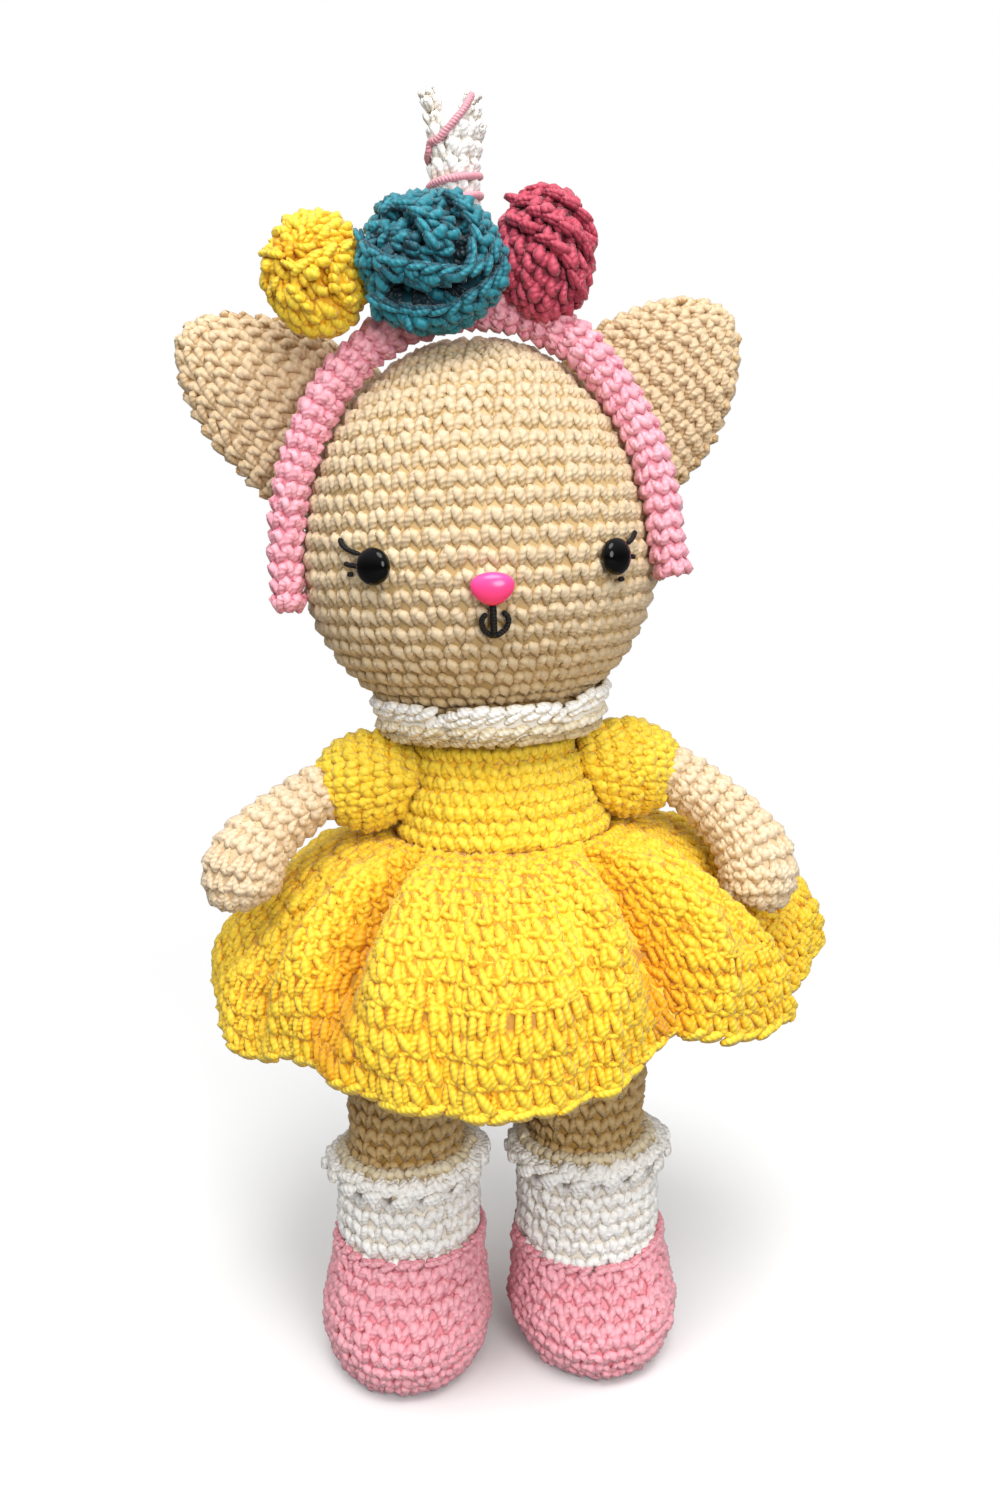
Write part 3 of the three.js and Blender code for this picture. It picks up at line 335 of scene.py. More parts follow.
def yarn_loops(places, shape=single, sides=5, steps=5, sink=1.35, thick=1.0):
    """The yarn of every stitch as short plump tubes, sunk so that their tops reach the surface."""
    parts = []
    shares = np.linspace(0, 1, steps)
    full = np.sin(np.pi * (tip_start + (1 - 2 * tip_start) * shares)) ** 0.6
    taper = (tip_share + (1 - tip_share) * full) * (top_share - foot_thinning * shares)
    angles = full_turn * (np.arange(sides) + 0.5) / sides - np.pi / 2
    count = len(places["at"])
    quads, fans = ring_faces(steps, sides)
    offsets = np.arange(count)[:, None, None] * (steps * sides + 2)
    middle = places["at"] - places["out"] * sink
    for strand, (stops, thickness) in enumerate(shape):
        ways = (1 - shares) ** 2, 2 * shares * (1 - shares), shares ** 2
        curve = sum(np.outer(way, stop) for way, stop in zip(ways, stops))
        wide, tall = places["wide"][:, None, None], places["tall"][:, None, None]
        centre = (
            middle[:, None]
            + places["across"][:, None] * curve[None, :, :1] * wide
            + places["up"][:, None] * curve[None, :, 1:2] * tall
            + places["out"][:, None] * curve[None, :, 2:] * yarn_wide
        )
        run = unit(np.gradient(centre, axis=1))
        beside = unit(np.cross(run, places["out"][:, None]))
        over = np.cross(beside, run)
        radius = (thickness * yarn_wide * thick * places["plump"])[:, None] * taper[None]
        round_it = (
            beside[:, :, None] * np.cos(angles)[None, None, :, None]
            + over[:, :, None] * np.sin(angles)[None, None, :, None]
        )
        tube = centre[:, :, None] + round_it * radius[:, :, None, None]
        caps = np.stack([
            centre[:, 0] - run[:, 0] * radius[:, :1] * cap_share,
            centre[:, -1] + run[:, -1] * radius[:, -1:] * cap_share,
        ], axis=1)
        points = np.concatenate([tube.reshape(count, -1, 3), caps], axis=1)
        height = ((points - middle[:, None]) * places["out"][:, None]).sum(-1) / yarn_wide
        length = np.linalg.norm(np.diff(centre, axis=1), axis=2).cumsum(1)
        length = np.concatenate([np.zeros((count, 1)), length], axis=1)
        twist = length[:, :, None] / ply_pitch + (np.arange(sides) / sides * 2)[None, None]
        tips = np.zeros((count, 1)), length[:, -1:] / ply_pitch
        twist = np.concatenate([twist.reshape(count, -1), *tips], axis=1)
        # The stitch's own tone, with its first strand painted lighter and the others darker
        tone = places["tone"][:, None] + np.zeros(points.shape[1]) + painted_strand_shading[strand]
        parts.append({
            "points": points.reshape(-1, 3),
            "quads": (quads[None] + offsets).reshape(-1, 4),
            "fans": (fans[None] + offsets).reshape(-1, 3),
            # Painted shade: the lower the yarn over the cloth and the more shade painted on the stitch, the
            # deeper its colour
            "depth": (np.clip(height * depth_gain + depth_start, 0, 1) - places["dim"][:, None]).ravel(),
            "tone": tone.ravel(),
            "twist": twist.ravel(),
        })
    return parts


def outward(rings, centre=None):
    """The outward direction at each point of a surface given as closed rings."""
    around = np.roll(rings, -1, axis=1) - np.roll(rings, 1, axis=1)
    normal = unit(np.cross(around, np.gradient(rings, axis=0)))
    centre = rings.reshape(-1, 3).mean(0) if centre is None else np.asarray(centre)
    return normal * np.sign(((rings - centre) * normal).sum())


def shell(rings, ends=True, round_again=False, depth=0.0):
    """Faces through closed rings of points. Fans close the ends; round again joins the last to the first."""
    rows, columns = rings.shape[:2]
    points = rings.reshape(-1, 3)
    if ends:
        points = np.concatenate([points, rings[0].mean(0)[None], rings[-1].mean(0)[None]])
    quads, fans = ring_faces(rows, columns, ends, round_again)
    count = len(points)
    return {
        "points": points, "quads": quads, "fans": fans,
        "depth": np.full(count, depth), "tone": np.full(count, 0.4), "twist": np.zeros(count),
    }


def ground(rings, sink=1.2, thick=0.0, centre=None, depth=0.35):
    """The closed cloth that the stitches' yarn stands out of: a stuffed body, or a sheet if it is thick."""
    # Painted shade: the cloth takes the yarn's deeper colours, the darker the lower its depth
    normal = outward(rings, centre)
    layers = rings - normal * sink
    if thick:
        layers = np.concatenate([layers, (rings - normal * (sink + thick))[::-1]])
    return turned_outward(shell(layers, ends=not thick, round_again=bool(thick), depth=depth))


def turned_outward(part):
    """Turns a closed part's faces so that they look outward."""
    triangles = np.concatenate([part["quads"][:, [0, 1, 2]], part["quads"][:, [0, 2, 3]], part["fans"]])
    a, b, c = (part["points"][triangles[:, i]] for i in range(3))
    if (a * np.cross(b, c)).sum() < 0:
        part["quads"], part["fans"] = part["quads"][:, ::-1], part["fans"][:, ::-1]
    return part


# What each point holds for its material: the depth that sets its painted shade, or a button's painted light,
# its tone and its plies' twist
yarn_values = "depth", "tone", "twist"


def surface(tree, look):
    """Closes a material with one shader and its values or links."""
    node(tree, "OutputMaterial", {"Surface": node(tree, "BsdfPrincipled", look)[0]})


def cotton(name, deep, shade, face, light, gloss=0.5, sheen=0.25):
    """Mercerised cotton yarn, four plies twisted together: a silky gloss along each ply, painted shade in a
    warm darker colour where the yarn dives between stitches and between its plies, and a slightly different
    tone from stitch to stitch."""
    material, tree = new_material(name)
    depth, tone, twist = (node(tree, "Attribute", attribute_name=key)["Fac"] for key in yarn_values)
    place = node(tree, "TexCoord")["Object"]
    fibre = node(tree, "TexNoise", {"Vector": place, "Scale": 1 / metres(0.9), "Detail": 3.0})[0]
    patch = node(tree, "TexNoise", {"Vector": place, "Scale": 1 / metres(14.0), "Detail": 2.0})[0]
    wound = node(tree, "Math", {0: twist, 1: full_turn}, operation="MULTIPLY")[0]
    plies = node(tree, "Math", {0: wound}, operation="SINE")[0]
    # Painted shade: the lower the yarn lies over the cloth, the more it takes the deep and shade colours; the
    # tops take the stitch's own tones
    low = spread(tree, depth, 0.0, 0.45, kind="SMOOTHSTEP")
    high = spread(tree, depth, 0.4, 1.0, kind="SMOOTHSTEP")
    body = blend(tree, high, blend(tree, low, deep, shade), blend(tree, tone, face, light))
    worn = spread(tree, fibre, 0.3, 0.7, 0.93, 1.05)
    cloudy = spread(tree, patch, 0.3, 0.7, 0.96, 1.03)
    # Painted shade between the plies
    painted_ply_shade = spread(tree, plies, -1.0, 0.2, 0.9, 1.0)
    # Painted deep shade where the painted depth falls below nothing: behind the skirt's holes and on the most
    # deeply shaded stitches
    painted_deep_shade = spread(tree, depth, -1.0, 0.0, 0.2, 1.0)
    # The fibres' and patches' own tone, times the painted shade
    grain_and_painted_shade = worn
    for part in (cloudy, painted_ply_shade, painted_deep_shade):
        grain_and_painted_shade = node(tree, "Math", {0: grain_and_painted_shade, 1: part}, operation="MULTIPLY")[0]
    final = node(tree, "VectorMath", {0: body, "Scale": grain_and_painted_shade}, operation="SCALE")[0]
    relief = node(tree, "Math", {0: plies, 1: fibre}, operation="ADD")[0]
    bump = node(tree, "Bump", {"Height": relief, "Strength": 0.5, "Distance": metres(0.14)})[0]
    surface(tree, {
        "Base Color": final, "Normal": bump, "Roughness": gloss, "Specular IOR Level": 0.4,
        "Sheen Weight": sheen, "Sheen Roughness": 0.4,
    })
    return material


def dress(name, parts, material, body, slot, *nodes, fill=None):
    """One mesh object from parts in millimetres, with the yarn's values at each point. It rides on a body and
    stands for the CAD nodes named; its slot is not used."""
    points, faces, first = [], [], 0
    for part in parts:
        points.append(part["points"])
        faces += (part["quads"] + first).tolist() + (part["fans"] + first).tolist()
        first += len(part["points"])
    mesh = bpy.data.meshes.new(name)
    mesh.from_pydata(metres(np.concatenate(points)).tolist(), [], faces)
    for key in yarn_values:
        values = np.concatenate([part[key] for part in parts]).astype(np.float32)
        mesh.attributes.new(key, "FLOAT", "POINT").data.foreach_set("value", values)
    mesh.shade_smooth()
    mesh.materials.append(material)
    piece = bpy.data.objects.new(name, mesh)
    bpy.context.scene.collection.objects.link(piece)
    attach(piece, body)
    if nodes:
        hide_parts(*nodes)
    return piece


def stitches(rings, seed, shape=single, dim=0.0, sides=5, steps=5, sink=1.35, thick=1.0, **stitch):
    """The stitches of a crocheted surface with shade painted on them, a number or one found from their
    places; below nothing paints them lighter.
    """
    places = stitch_places(rings, seed, **stitch)
    places["dim"] += dim(places["at"]) if callable(dim) else dim
    return yarn_loops(places, shape, sides, steps, sink, thick)


def crocheted(rings, seed, shape=single, cloth=1.2, depth=0.35, centre=None, **look):
    """A stuffed crocheted body: its cloth, sunk that deep, and its stitches."""
    body = ground(rings, sink=cloth, centre=centre, depth=depth)
    return [body] + stitches(rings, seed, shape, centre=centre, **look)


pink_yarn = cotton("pink_mercerised_cotton", "#DC7C8A", "#EC96A2", "#F8AAB6", "#FDBAC4")

shoe_heights = {"left": 32.0, "right": 29.0}
shoe_dips = {"left": 0.0, "right": 2.2}
shoe_opening = 19.2
# Where the shoe's mouth fits round the leaning sock
shoe_mouths = {"left": axis_x - 24.4, "right": axis_x + 20.9}
# [share of the height, share of the full width]
shoe_shares = [[0, 0.72], [0.05, 0.84], [0.16, 0.95], [0.36, 1.01], [0.66, 0.98], [0.86, 0.93], [1, 0.9]]
shoe_widest = 1.01


def shoe_ring(side, height, sole_share=1.0):
    """Outline of a shoe at a height; the sole's rounds are shares of its lowest outline."""
    low, high = box(f"{side}_shoe")
    half = (high - low)[0] / 2 / shoe_widest
    toe, heel = (axis_y - low[1]) / shoe_widest, (high[1] - axis_y) / shoe_widest
    share = height / shoe_heights[side]
    full = ease(shoe_shares, share) * sole_share
    x = half * full * np.cos(turns)
    y = np.where(np.sin(turns) < 0, toe, heel) * full * np.sin(turns)
    rounding = np.clip((share - 0.5) / 0.5, 0, 1)
    x = x + (shoe_opening * np.cos(turns) - x) * rounding
    y = y + (shoe_opening * np.sin(turns) - y) * rounding
    dip = shoe_dips[side] * rounding * np.clip(-np.sin(turns), 0, 1)
    sole_x = (low + high)[0] / 2
    return np.stack([sole_x + (shoe_mouths[side] - sole_x) * rounding + x, axis_y + y, height - dip], -1)


# Taller than any surface, so that it takes one round of stitches
one_round_tall = 1000
# The loops of yarn that lie along an edge, as a slanting chain
edge_chain = [
    ([(-0.62, -0.16, 0.06), (-0.1, 0.02, 0.24), (0.46, 0.2, 0.08)], 0.235),
    ([(-0.5, 0.2, -0.04), (0.0, 0.3, 0.08), (0.5, 0.28, -0.05)], 0.2),
]


def edge_loops(line, inside, seed, wide=yarn_wide, sink=1.0, thick=1.0, closed=True, centre=None, dim=0.0):
    """A chain of loops along the edge of a piece; inside is the line next to the edge, in the cloth."""
    rings = np.stack([inside, line])
    places = stitch_places(rings, seed, wide=wide, tall=one_round_tall, closed=closed, centre=centre)
    places["at"] = places["at"] + places["up"] * (places["tall"] / 2)[:, None]
    places["tall"] = np.full(len(places["tall"]), yarn_tall * 0.8)
    # Shade painted on the chain's loops; below nothing paints them lighter
    places["dim"] += dim
    return yarn_loops(places, edge_chain, sink=sink, thick=thick)


for number, side in enumerate(sides_of):
    sole = [shoe_ring(side, 0.0, share) for share in np.linspace(0.06, 0.97, 14)]
    shoe_height = shoe_heights[side]
    wall = [shoe_ring(side, height) for height in np.linspace(0, 1, 26)[1:] ** 1.15 * (shoe_height - 0.8)]
    rings = np.stack(sole + wall)
    parts = crocheted(rings, seed=11 + number, shape=snug, wide=3.9, tall=3.5, loose=1.7)
    parts += edge_loops(shoe_ring(side, shoe_height), shoe_ring(side, shoe_height - 3), seed=21 + number)
    for part in parts:
        part["points"][:, 2] = np.maximum(part["points"][:, 2], 0.1)
    dress(f"{side}_shoe_crochet", parts, pink_yarn, "torso", "shoe_yarn", f"{side}_shoe")


def fibrous(name, low, high, grain, detail, strength, relief, rough, sheen=0.0):
    """Matt stuff of loose or pressed fibres, whose tone and surface change with a grain in millimetres."""
    material, tree = new_material(name)
    size = {"Vector": node(tree, "TexCoord")["Object"], "Scale": 1 / metres(grain), "Detail": detail}
    fibres = node(tree, "TexNoise", size)[0]
    tint = blend(tree, fibres, low, high)
    bump = node(tree, "Bump", {"Height": fibres, "Strength": strength, "Distance": metres(relief)})[0]
    surface(tree, {"Base Color": tint, "Normal": bump, "Roughness": rough, "Sheen Weight": sheen})
    return material


def paint(name, material):
    """A better finish on a CAD node whose shape is right."""
    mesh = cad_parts[name].data
    mesh.materials.clear()
    mesh.materials.append(material)


board = fibrous("pressed_tan_board", "#B79F78", "#D2BE98", grain=0.8, detail=4.0,
                 strength=0.3, relief=0.1, rough=0.85)
for side in sides_of:
    paint(f"{side}_insole", board)


# Legs, socks and hips
# Beige legs, worked in one with the stuffed hips under the skirt, end in white socks that hold the feet.
# All are single crochet in rounds, firmly stuffed. The hand-made body leans a little to the side.
# The beige yarn's two deeper colours are painted shade, warm and yellow as if lit by the yellow dress
skin_yarn = cotton("beige_mercerised_cotton", "#AE8742", "#CBAD7A", "#D6BE9A", "#E1CCAB", gloss=0.55)
white_yarn = cotton("white_mercerised_cotton", "#D8C8B2", "#F0E8DC", "#FCF9F4", "#FFFEFC", gloss=0.55)
bodice_low, bodice_high = box("bodice")
shoulder_height = bodice_high[2]
lean_reach = 3.2
# [share of the shoulders' height, how far the body leans there]
lean_shares = [[0, -0.75], [0.32, -0.5], [0.64, 0.31], [0.85, 1], [0.94, 0.81], [1, 0.34], [1.03, 0]]


def lean_at(height):
    """Where the leaning body's middle lies at a height."""
    return axis_x + lean_reach * ease(lean_shares, height / shoulder_height)


def ring_at(x, y, height, half_wide, half_deep=None):
    """A ring of points, level where its height is one number, round where it has one radius."""
    deep = half_wide if half_deep is None else half_deep
    level = np.full(len(turns), height)
    return np.stack([x + half_wide * np.cos(turns), y + deep * np.sin(turns), level], -1)


def heights_in(name, shares):
    """Heights at shares of the way up a CAD node."""
    low, high = box(name)
    return low[2] + (high - low)[2] * shares


def body_rings(heights, wide, deep=None, aside=0.0):
    """Level rings up the leaning body."""
    deep = wide if deep is None else deep
    rows = zip(heights, wide, deep)
    return np.stack([ring_at(lean_at(row[0]) + aside, axis_y, *row) for row in rows])


leg_spacing = 22.6
# The leg ends in the hips, and its yarn a little lower
leg_radius, leg_seen = 14.0, 0.86
leg_shares = [[0, 1], [0.2, 1.03], [0.45, 1.05], [0.75, 1.04], [0.93, 0.92], [1, 0.78]]
# The sock's stitches start that far below the shoe's rim; its foot ends lower, inside the shoe's wall
sock_radius, sock_start, foot_end, shoe_thick = 18.0, 7, 9, 1.5
sock_shares = [[0, 1], [0.45, 1], [0.75, 0.985], [1, 0.955]]
for number, (side, sign) in enumerate(sides_of.items()):
    shares = np.linspace(0, leg_seen, 40)
    heights, radii = heights_in(f"{side}_leg", shares), leg_radius * ease(leg_shares, shares)
    leg_rings = body_rings(heights, radii, aside=sign * leg_spacing)
    # Painted shade: under the skirt the legs' stitches are painted 0.6 deeper and their cloth in the deepest
    # colour
    parts = crocheted(leg_rings, seed=31 + number, shape=snug, wide=4.2, dim=0.6, depth=0.0)
    dress(f"{side}_leg_crochet", parts, skin_yarn, "torso", "skin_yarn", f"{side}_leg", fill=0.9)

    sock_low, sock_high = box(f"{side}_sock")
    shoe_height = shoe_heights[side]
    shares = np.linspace(0, 1, 24)
    heights = shoe_height - sock_start + (sock_high[2] - shoe_height + sock_start) * shares
    sock_rings = body_rings(heights, sock_radius * ease(sock_shares, shares), aside=sign * leg_spacing)
    foot_heights = np.linspace(sock_low[2], shoe_height - foot_end, 12)
    foot = np.stack([shoe_ring(side, height) for height in foot_heights])
    foot_rings = foot - outward(foot) * shoe_thick
    foot_rings[:, :, 2] = foot[:, :, 2]
    whole = np.concatenate([foot_rings, sock_rings])
    parts = [ground(whole)] + stitches(sock_rings, seed=41 + number, shape=snug, wide=4.0, loose=1.7)
    dress(f"{side}_sock_crochet", parts, white_yarn, "torso", "white_yarn", f"{side}_sock", fill=0.9)

hips_radius = 30.0
hips_shares = [[0, 0.5], [0.06, 0.74], [0.18, 0.92], [0.36, 1], [0.6, 0.98], [0.82, 0.9], [1, 0.845]]
shares = np.concatenate([[0.0], np.linspace(0, 1, 30) ** 1.2])
radii = hips_radius * ease(hips_shares, shares)
radii[0] *= 0.1
wide = radii * (1.18 - 0.18 * np.clip((shares - 0.2) / 0.4, 0, 1))
hips_rings = body_rings(heights_in("hips", shares), wide, radii)


def clear_of_legs(points):
    apart = np.hypot(np.abs(points[:, 0] - lean_at(points[:, 2])) - leg_spacing, points[:, 1] - axis_y)
    return apart > leg_radius + 0.6


parts = [ground(hips_rings)]
parts += stitches(hips_rings, seed=51, sides=4, steps=3, wide=4.2, tall=4.4, keep=clear_of_legs)
dress("hips_crochet", parts, skin_yarn, "torso", "skin_yarn", "hips", fill=0.9)


# Sock frills
# A white cuff turned down over the top of each sock: two rounds of loose stitches that slope outward to a
# thick, softly scalloped edge.
# The cream yarn's two deeper colours are painted shade, yellowed as if lit by the yellow dress
cream_yarn = cotton("cream_white_mercerised_cotton", "#C9B184", "#E2D3B2", "#FBF7F0", "#FFFEFB", gloss=0.55)
frill_scallops, scallop_out, scallop_down = 17, 2.2, 1.7
# [share of the way out, radius, height over the sock's top]
frill_shares = [[0, 14.4, 5.6], [0.35, 15.4, 6.2], [0.7, 18.0, 4.6], [1, 19.6, 2.6]]


def gathered(name, cloth, faces, material, slot, node_name):
    """A gathered cloth and the pieces of yarn that lie on it."""
    sheet = dress(name, [cloth], material, "torso", slot, node_name)
    yarn = [dress(face, loops, material, "torso", slot) for face, loops in faces.items()]


# The loops on the hidden side of a cloth, with fewer points
thin_loops = {"sides": 4, "steps": 4}
for number, (side, sign) in enumerate(sides_of.items()):
    frill_low = box(f"{side}_sock_frill")[0]
    middle_x = lean_at(frill_low[2]) + sign * leg_spacing
    frill_rings = []
    scallop = np.abs(np.sin(frill_scallops / 2 * turns + number)) ** 0.7 - 0.6
    wander, dip = 0.5 * np.sin(3 * turns + 2 * number), 0.6 * np.sin(2 * turns + 1)
    for share in np.linspace(0, 1, 10):
        radius = ease(frill_shares, share) + share ** 2 * (scallop_out * scallop + wander)
        height = frill_low[2] + ease(frill_shares, share, 2) - share ** 2 * (scallop_down * scallop - dip)
        frill_rings.append(ring_at(middle_x, axis_y, height, radius))
    frill_rings = np.stack(frill_rings)
    centre = [middle_x, axis_y, frill_low[2] - 20]
    cloth = ground(frill_rings, sink=0.7, thick=1.0, centre=centre, depth=0.8)

    # Painted shade on the frill near the leg, under the skirt, and further out 0.25 less shade, painted
    # lighter
    def leg_shade(points):
        from_leg = np.hypot(points[:, 0] - middle_x, points[:, 1] - axis_y) - leg_radius
        return 0.75 * np.clip(1 - (from_leg - 1.0) / 4.0, 0, 1) - 0.25

    look = {"dim": leg_shade, "sink": 1.1, "thick": 1.1, "wide": 3.6, "tall": 3.4, "loose": 1.6}
    loops = stitches(frill_rings, seed=61 + number, shape=snug, centre=centre, **look)
    look = {"side": -1, "sink": -1.4, "wide": 4.0, "tall": 4.4, **thin_loops}
    loops += stitches(frill_rings, seed=71 + number, centre=centre, **look)
    # Painted light: the edge's thick chain is painted lighter, with 0.5 less shade
    thick_chain = {"wide": 4.0, "sink": 0.6, "thick": 1.45, "dim": -0.5}
    loops += edge_loops(frill_rings[-1], frill_rings[-3], seed=81 + number, centre=centre, **thick_chain)
    gathered(f"{side}_frill_cloth", cloth, {f"{side}_frill_crochet": loops}, cream_yarn, "white_yarn",
             f"{side}_sock_frill")


# Bodice
# The yellow top of the dress, crocheted in close horizontal rounds as the torso itself and firmly stuffed.
# It narrows from the waist and rounds in over the shoulders to the neck.
yellow_yarn = cotton("yellow_mercerised_cotton", "#E8A20A", "#F3BE1A", "#F8D02C", "#FBDB42")
waist_radius, shoulder_radius, neck_opening = 26.0, 20.2, 12.3
bodice_shares = [[0, 1], [0.34, 0.6], [0.68, 0.12], [0.9, -0.12]]


def bodice_radius(share):
    """The bodice's radius at a share of its height: its wall, then the round of the shoulders."""
    slope = waist_radius - shoulder_radius
    low_share, low_value = bodice_shares[-1]
    wall = shoulder_radius + slope * ease(bodice_shares, np.minimum(share, low_share))
    rest = np.clip((share - low_share) / (1 - low_share), 0, 1)
    low = shoulder_radius + slope * low_value
    return np.where(share <= low_share, wall, neck_opening + (low - neck_opening) * np.sqrt(1 - rest ** 2))


shoulder_round = 0.9 + 0.1 * np.sin(np.linspace(0, 1, 10)[1:] * np.pi / 2)
shares = np.concatenate([np.linspace(0, 0.9, 20), shoulder_round])
bodice_rings = body_rings(heights_in("bodice", shares), bodice_radius(shares))
# Painted light: the bodice's stitches are painted lighter, with 0.45 less shade
parts = crocheted(bodice_rings, seed=91, wide=3.8, tall=3.3, dim=-0.45, depth=0.45)
dress("bodice_crochet", parts, yellow_yarn, "torso", "yellow_yarn", "bodice", fill=0.95)


# Skirt
# One gathered cloth worked down from the waist in looser, taller stitches, so it stands out in folds. Two
# rounds above the hem a round of open pairs shows the cloth behind, painted dark as the shade in open holes,
# and the hem ends in a chained edge.
hem_reach, skirt_drop = 72.0, 44.0
# Round the hem: [turn from the front, reach share, drop share]
hem_shares = [
    [-0.5, 0.944, 0.82], [-0.444, 1, 0.84], [-0.389, 0.93, 0.8], [-0.333, 0.99, 0.8], [-0.292, 1.01, 0.77],
    [-0.25, 1, 0.75], [-0.222, 0.96, 0.8], [-0.183, 0.875, 0.86], [-0.147, 0.825, 0.91], [-0.108, 0.86, 0.95],
    [-0.08, 0.865, 0.98], [-0.05, 0.865, 1], [-0.02, 0.875, 1.01], [0.011, 0.845, 1], [0.039, 0.815, 0.98],
    [0.064, 0.78, 0.945], [0.086, 0.735, 0.89], [0.104, 0.715, 0.855], [0.122, 0.8, 0.89],
    [0.136, 0.855, 0.925], [0.153, 0.9, 0.91], [0.189, 0.945, 0.84], [0.217, 0.915, 0.81],
    [0.239, 1.015, 0.8], [0.261, 1.13, 0.8], [0.292, 1.1, 0.76], [0.333, 0.975, 0.8], [0.389, 1.04, 0.82],
    [0.444, 0.945, 0.8], [0.5, 0.944, 0.82],
]
# The creases: [turn from the front, depth as a share of the drop, width as a share of a turn]
crease_shares = [
    [-0.128, 0.3, 0.02], [0.1, 0.28, 0.018], [0.215, 0.12, 0.022], [-0.3, 0.1, 0.026], [0.36, 0.1, 0.026],
    [-0.42, 0.08, 0.026], [0.162, 0.08, 0.014], [-0.195, 0.08, 0.018], [-0.06, 0.03, 0.012],
    [0.04, 0.03, 0.012],
]
skirt_band = 0.6
# Beside each crease the cloth stands out again, that share as far, that many widths away
rim_share, rim_place = 0.3, 1.9
# The loose cloth ripples in and out, and up and down, between the creases
ripple_out, ripple_up = 0.55, 0.45
skirt_waist = waist_radius + 0.3
skirt_top = bodice_low[2] + skirt_band
skirt_x = lean_at(bodice_low[2])
hand_dent, hand_dent_width = 10.3, 17.0
shoulder_line = shoulder_height - 10.4
hand_places = [
    (lean_at(shoulder_line) + sign * (30.4 + reach * share), axis_y - 12.5)
    for sign, reach, share in ((-1, 31.0, 0.95), (1, 29.4, 0.98))
]
skirt_turns = np.linspace(-0.5, 0.5, 240, endpoint=False)


def skirt_ring(share):
    """The round of the skirt's cloth at a share of the way from waist to hem."""
    reach = hem_reach * ease(hem_shares, skirt_turns, 1)
    drop = (skirt_drop + skirt_band) * ease(hem_shares, skirt_turns, 2)
    angle = np.pi / 2 * share
    radius = skirt_waist + (reach - skirt_waist) * np.sin(angle)
    height = skirt_top - drop * (1 - np.cos(angle))
    for place, depth, wide in crease_shares:
        away = (skirt_turns - place) / wide
        fold = np.exp(-away ** 2) - rim_share * np.exp(-(np.abs(away) - rim_place) ** 2)
        radius = radius - skirt_drop * depth * fold * np.sin(np.pi * min(1, share * 1.05))
    turn = skirt_turns * full_turn
    coarse = np.sin(19 * turn + 2.5 * np.sin(3 * turn))
    fine = np.sin(31 * turn + 4 * share + 2 * np.sin(5 * turn))
    radius = radius + ripple_out * (coarse + 0.7 * fine) * np.clip(share * 5, 0, 1)
    wave = np.sin(14 * turn + 5 * share + 3 * np.sin(2 * turn))
    height = height + ripple_up * wave * np.sin(np.pi * min(1, share * 1.2))
    x, y = radius * np.sin(turn), -radius * np.cos(turn)
    for hand_x, hand_y in hand_places:
        away = np.hypot(x + skirt_x - hand_x, y + axis_y - hand_y) / hand_dent_width
        height = height - hand_dent * np.exp(-away ** 2)
    return np.stack([skirt_x + x, axis_y + y, height], -1)


# A half treble seen from the right side: taller slanting legs and the loop that lies over their tops
treble = [
    ([(-0.44, 0.46, 0.06), (-0.24, 0.12, 0.26), (0.14, -0.56, 0.0)], 0.31),
    ([(0.44, 0.44, 0.04), (0.42, 0.02, 0.12), (0.34, -0.50, -0.04)], 0.25),
    ([(-0.40, 0.34, 0.04), (0.06, 0.50, 0.26), (0.46, 0.28, 0.04)], 0.22),
]
# The tall posts of the round above the hem, and the crossed pairs that leave a hole between them
post = [
    ([(-0.42, 0.50, 0.04), (-0.26, 0.10, 0.26), (0.04, -0.54, 0.0)], 0.33),
    ([(0.42, 0.46, 0.0), (0.38, 0.0, 0.12), (0.24, -0.52, -0.04)], 0.26),
    ([(-0.40, 0.40, 0.04), (0.06, 0.54, 0.22), (0.46, 0.34, 0.04)], 0.2),
]
open_pair = [
    ([(-0.46, 0.54, 0.0), (-0.22, 0.0, 0.14), (-0.34, -0.56, 0.0)], 0.30),
    ([(0.10, 0.54, 0.04), (0.02, 0.06, 0.2), (0.16, -0.54, 0.0)], 0.30),
    ([(-0.3, -0.42, 0.04), (0.0, -0.5, 0.2), (0.5, -0.4, 0.04)], 0.24),
]
skirt_rings = np.stack([skirt_ring(share) for share in np.linspace(-0.012, 1, 62)])
skirt_centre = [skirt_x, axis_y, skirt_top - 90]
round_tall = 4.6
round_edges = row_places(skirt_rings, round_tall)


def rounds_of(low, high):
    """The part of the skirt between two rounds, counted back from the hem."""
    rows = np.linspace(round_edges[-1 - low], round_edges[-1 - high], 6 * (low - high) + 1)
    return np.stack([on_surface(skirt_rings, row, np.arange(skirt_rings.shape[1]), True) for row in rows])


# How dark the shade painted in the folds' bottoms and at the waist is, and how far out the waist's painted
# shade reaches
fold_dark, waist_dark, waist_shade_reach = 3.8, 0.28, 16


def fold_shade(points):
    """Painted shade on the stitches: in the folds' bottoms as of the cloth beside them, and at the waist as
    of the bodice.
    """
    at = points - [skirt_x, axis_y, 0]
    turn = np.arctan2(at[:, 0], -at[:, 1]) / full_turn
    shade = sum(depth * np.exp(-((turn - place) / wide) ** 2) for place, depth, wide in crease_shares)
    out = np.clip((np.hypot(at[:, 0], at[:, 1]) - skirt_waist) / waist_shade_reach, 0, 1)
    return np.clip(shade * fold_dark - 0.1, 0.06, 0.75) * out + waist_dark * (1 - out)


cloth = ground(skirt_rings[:, ::2], sink=1.0, thick=0.9, centre=skirt_centre, depth=0.6)
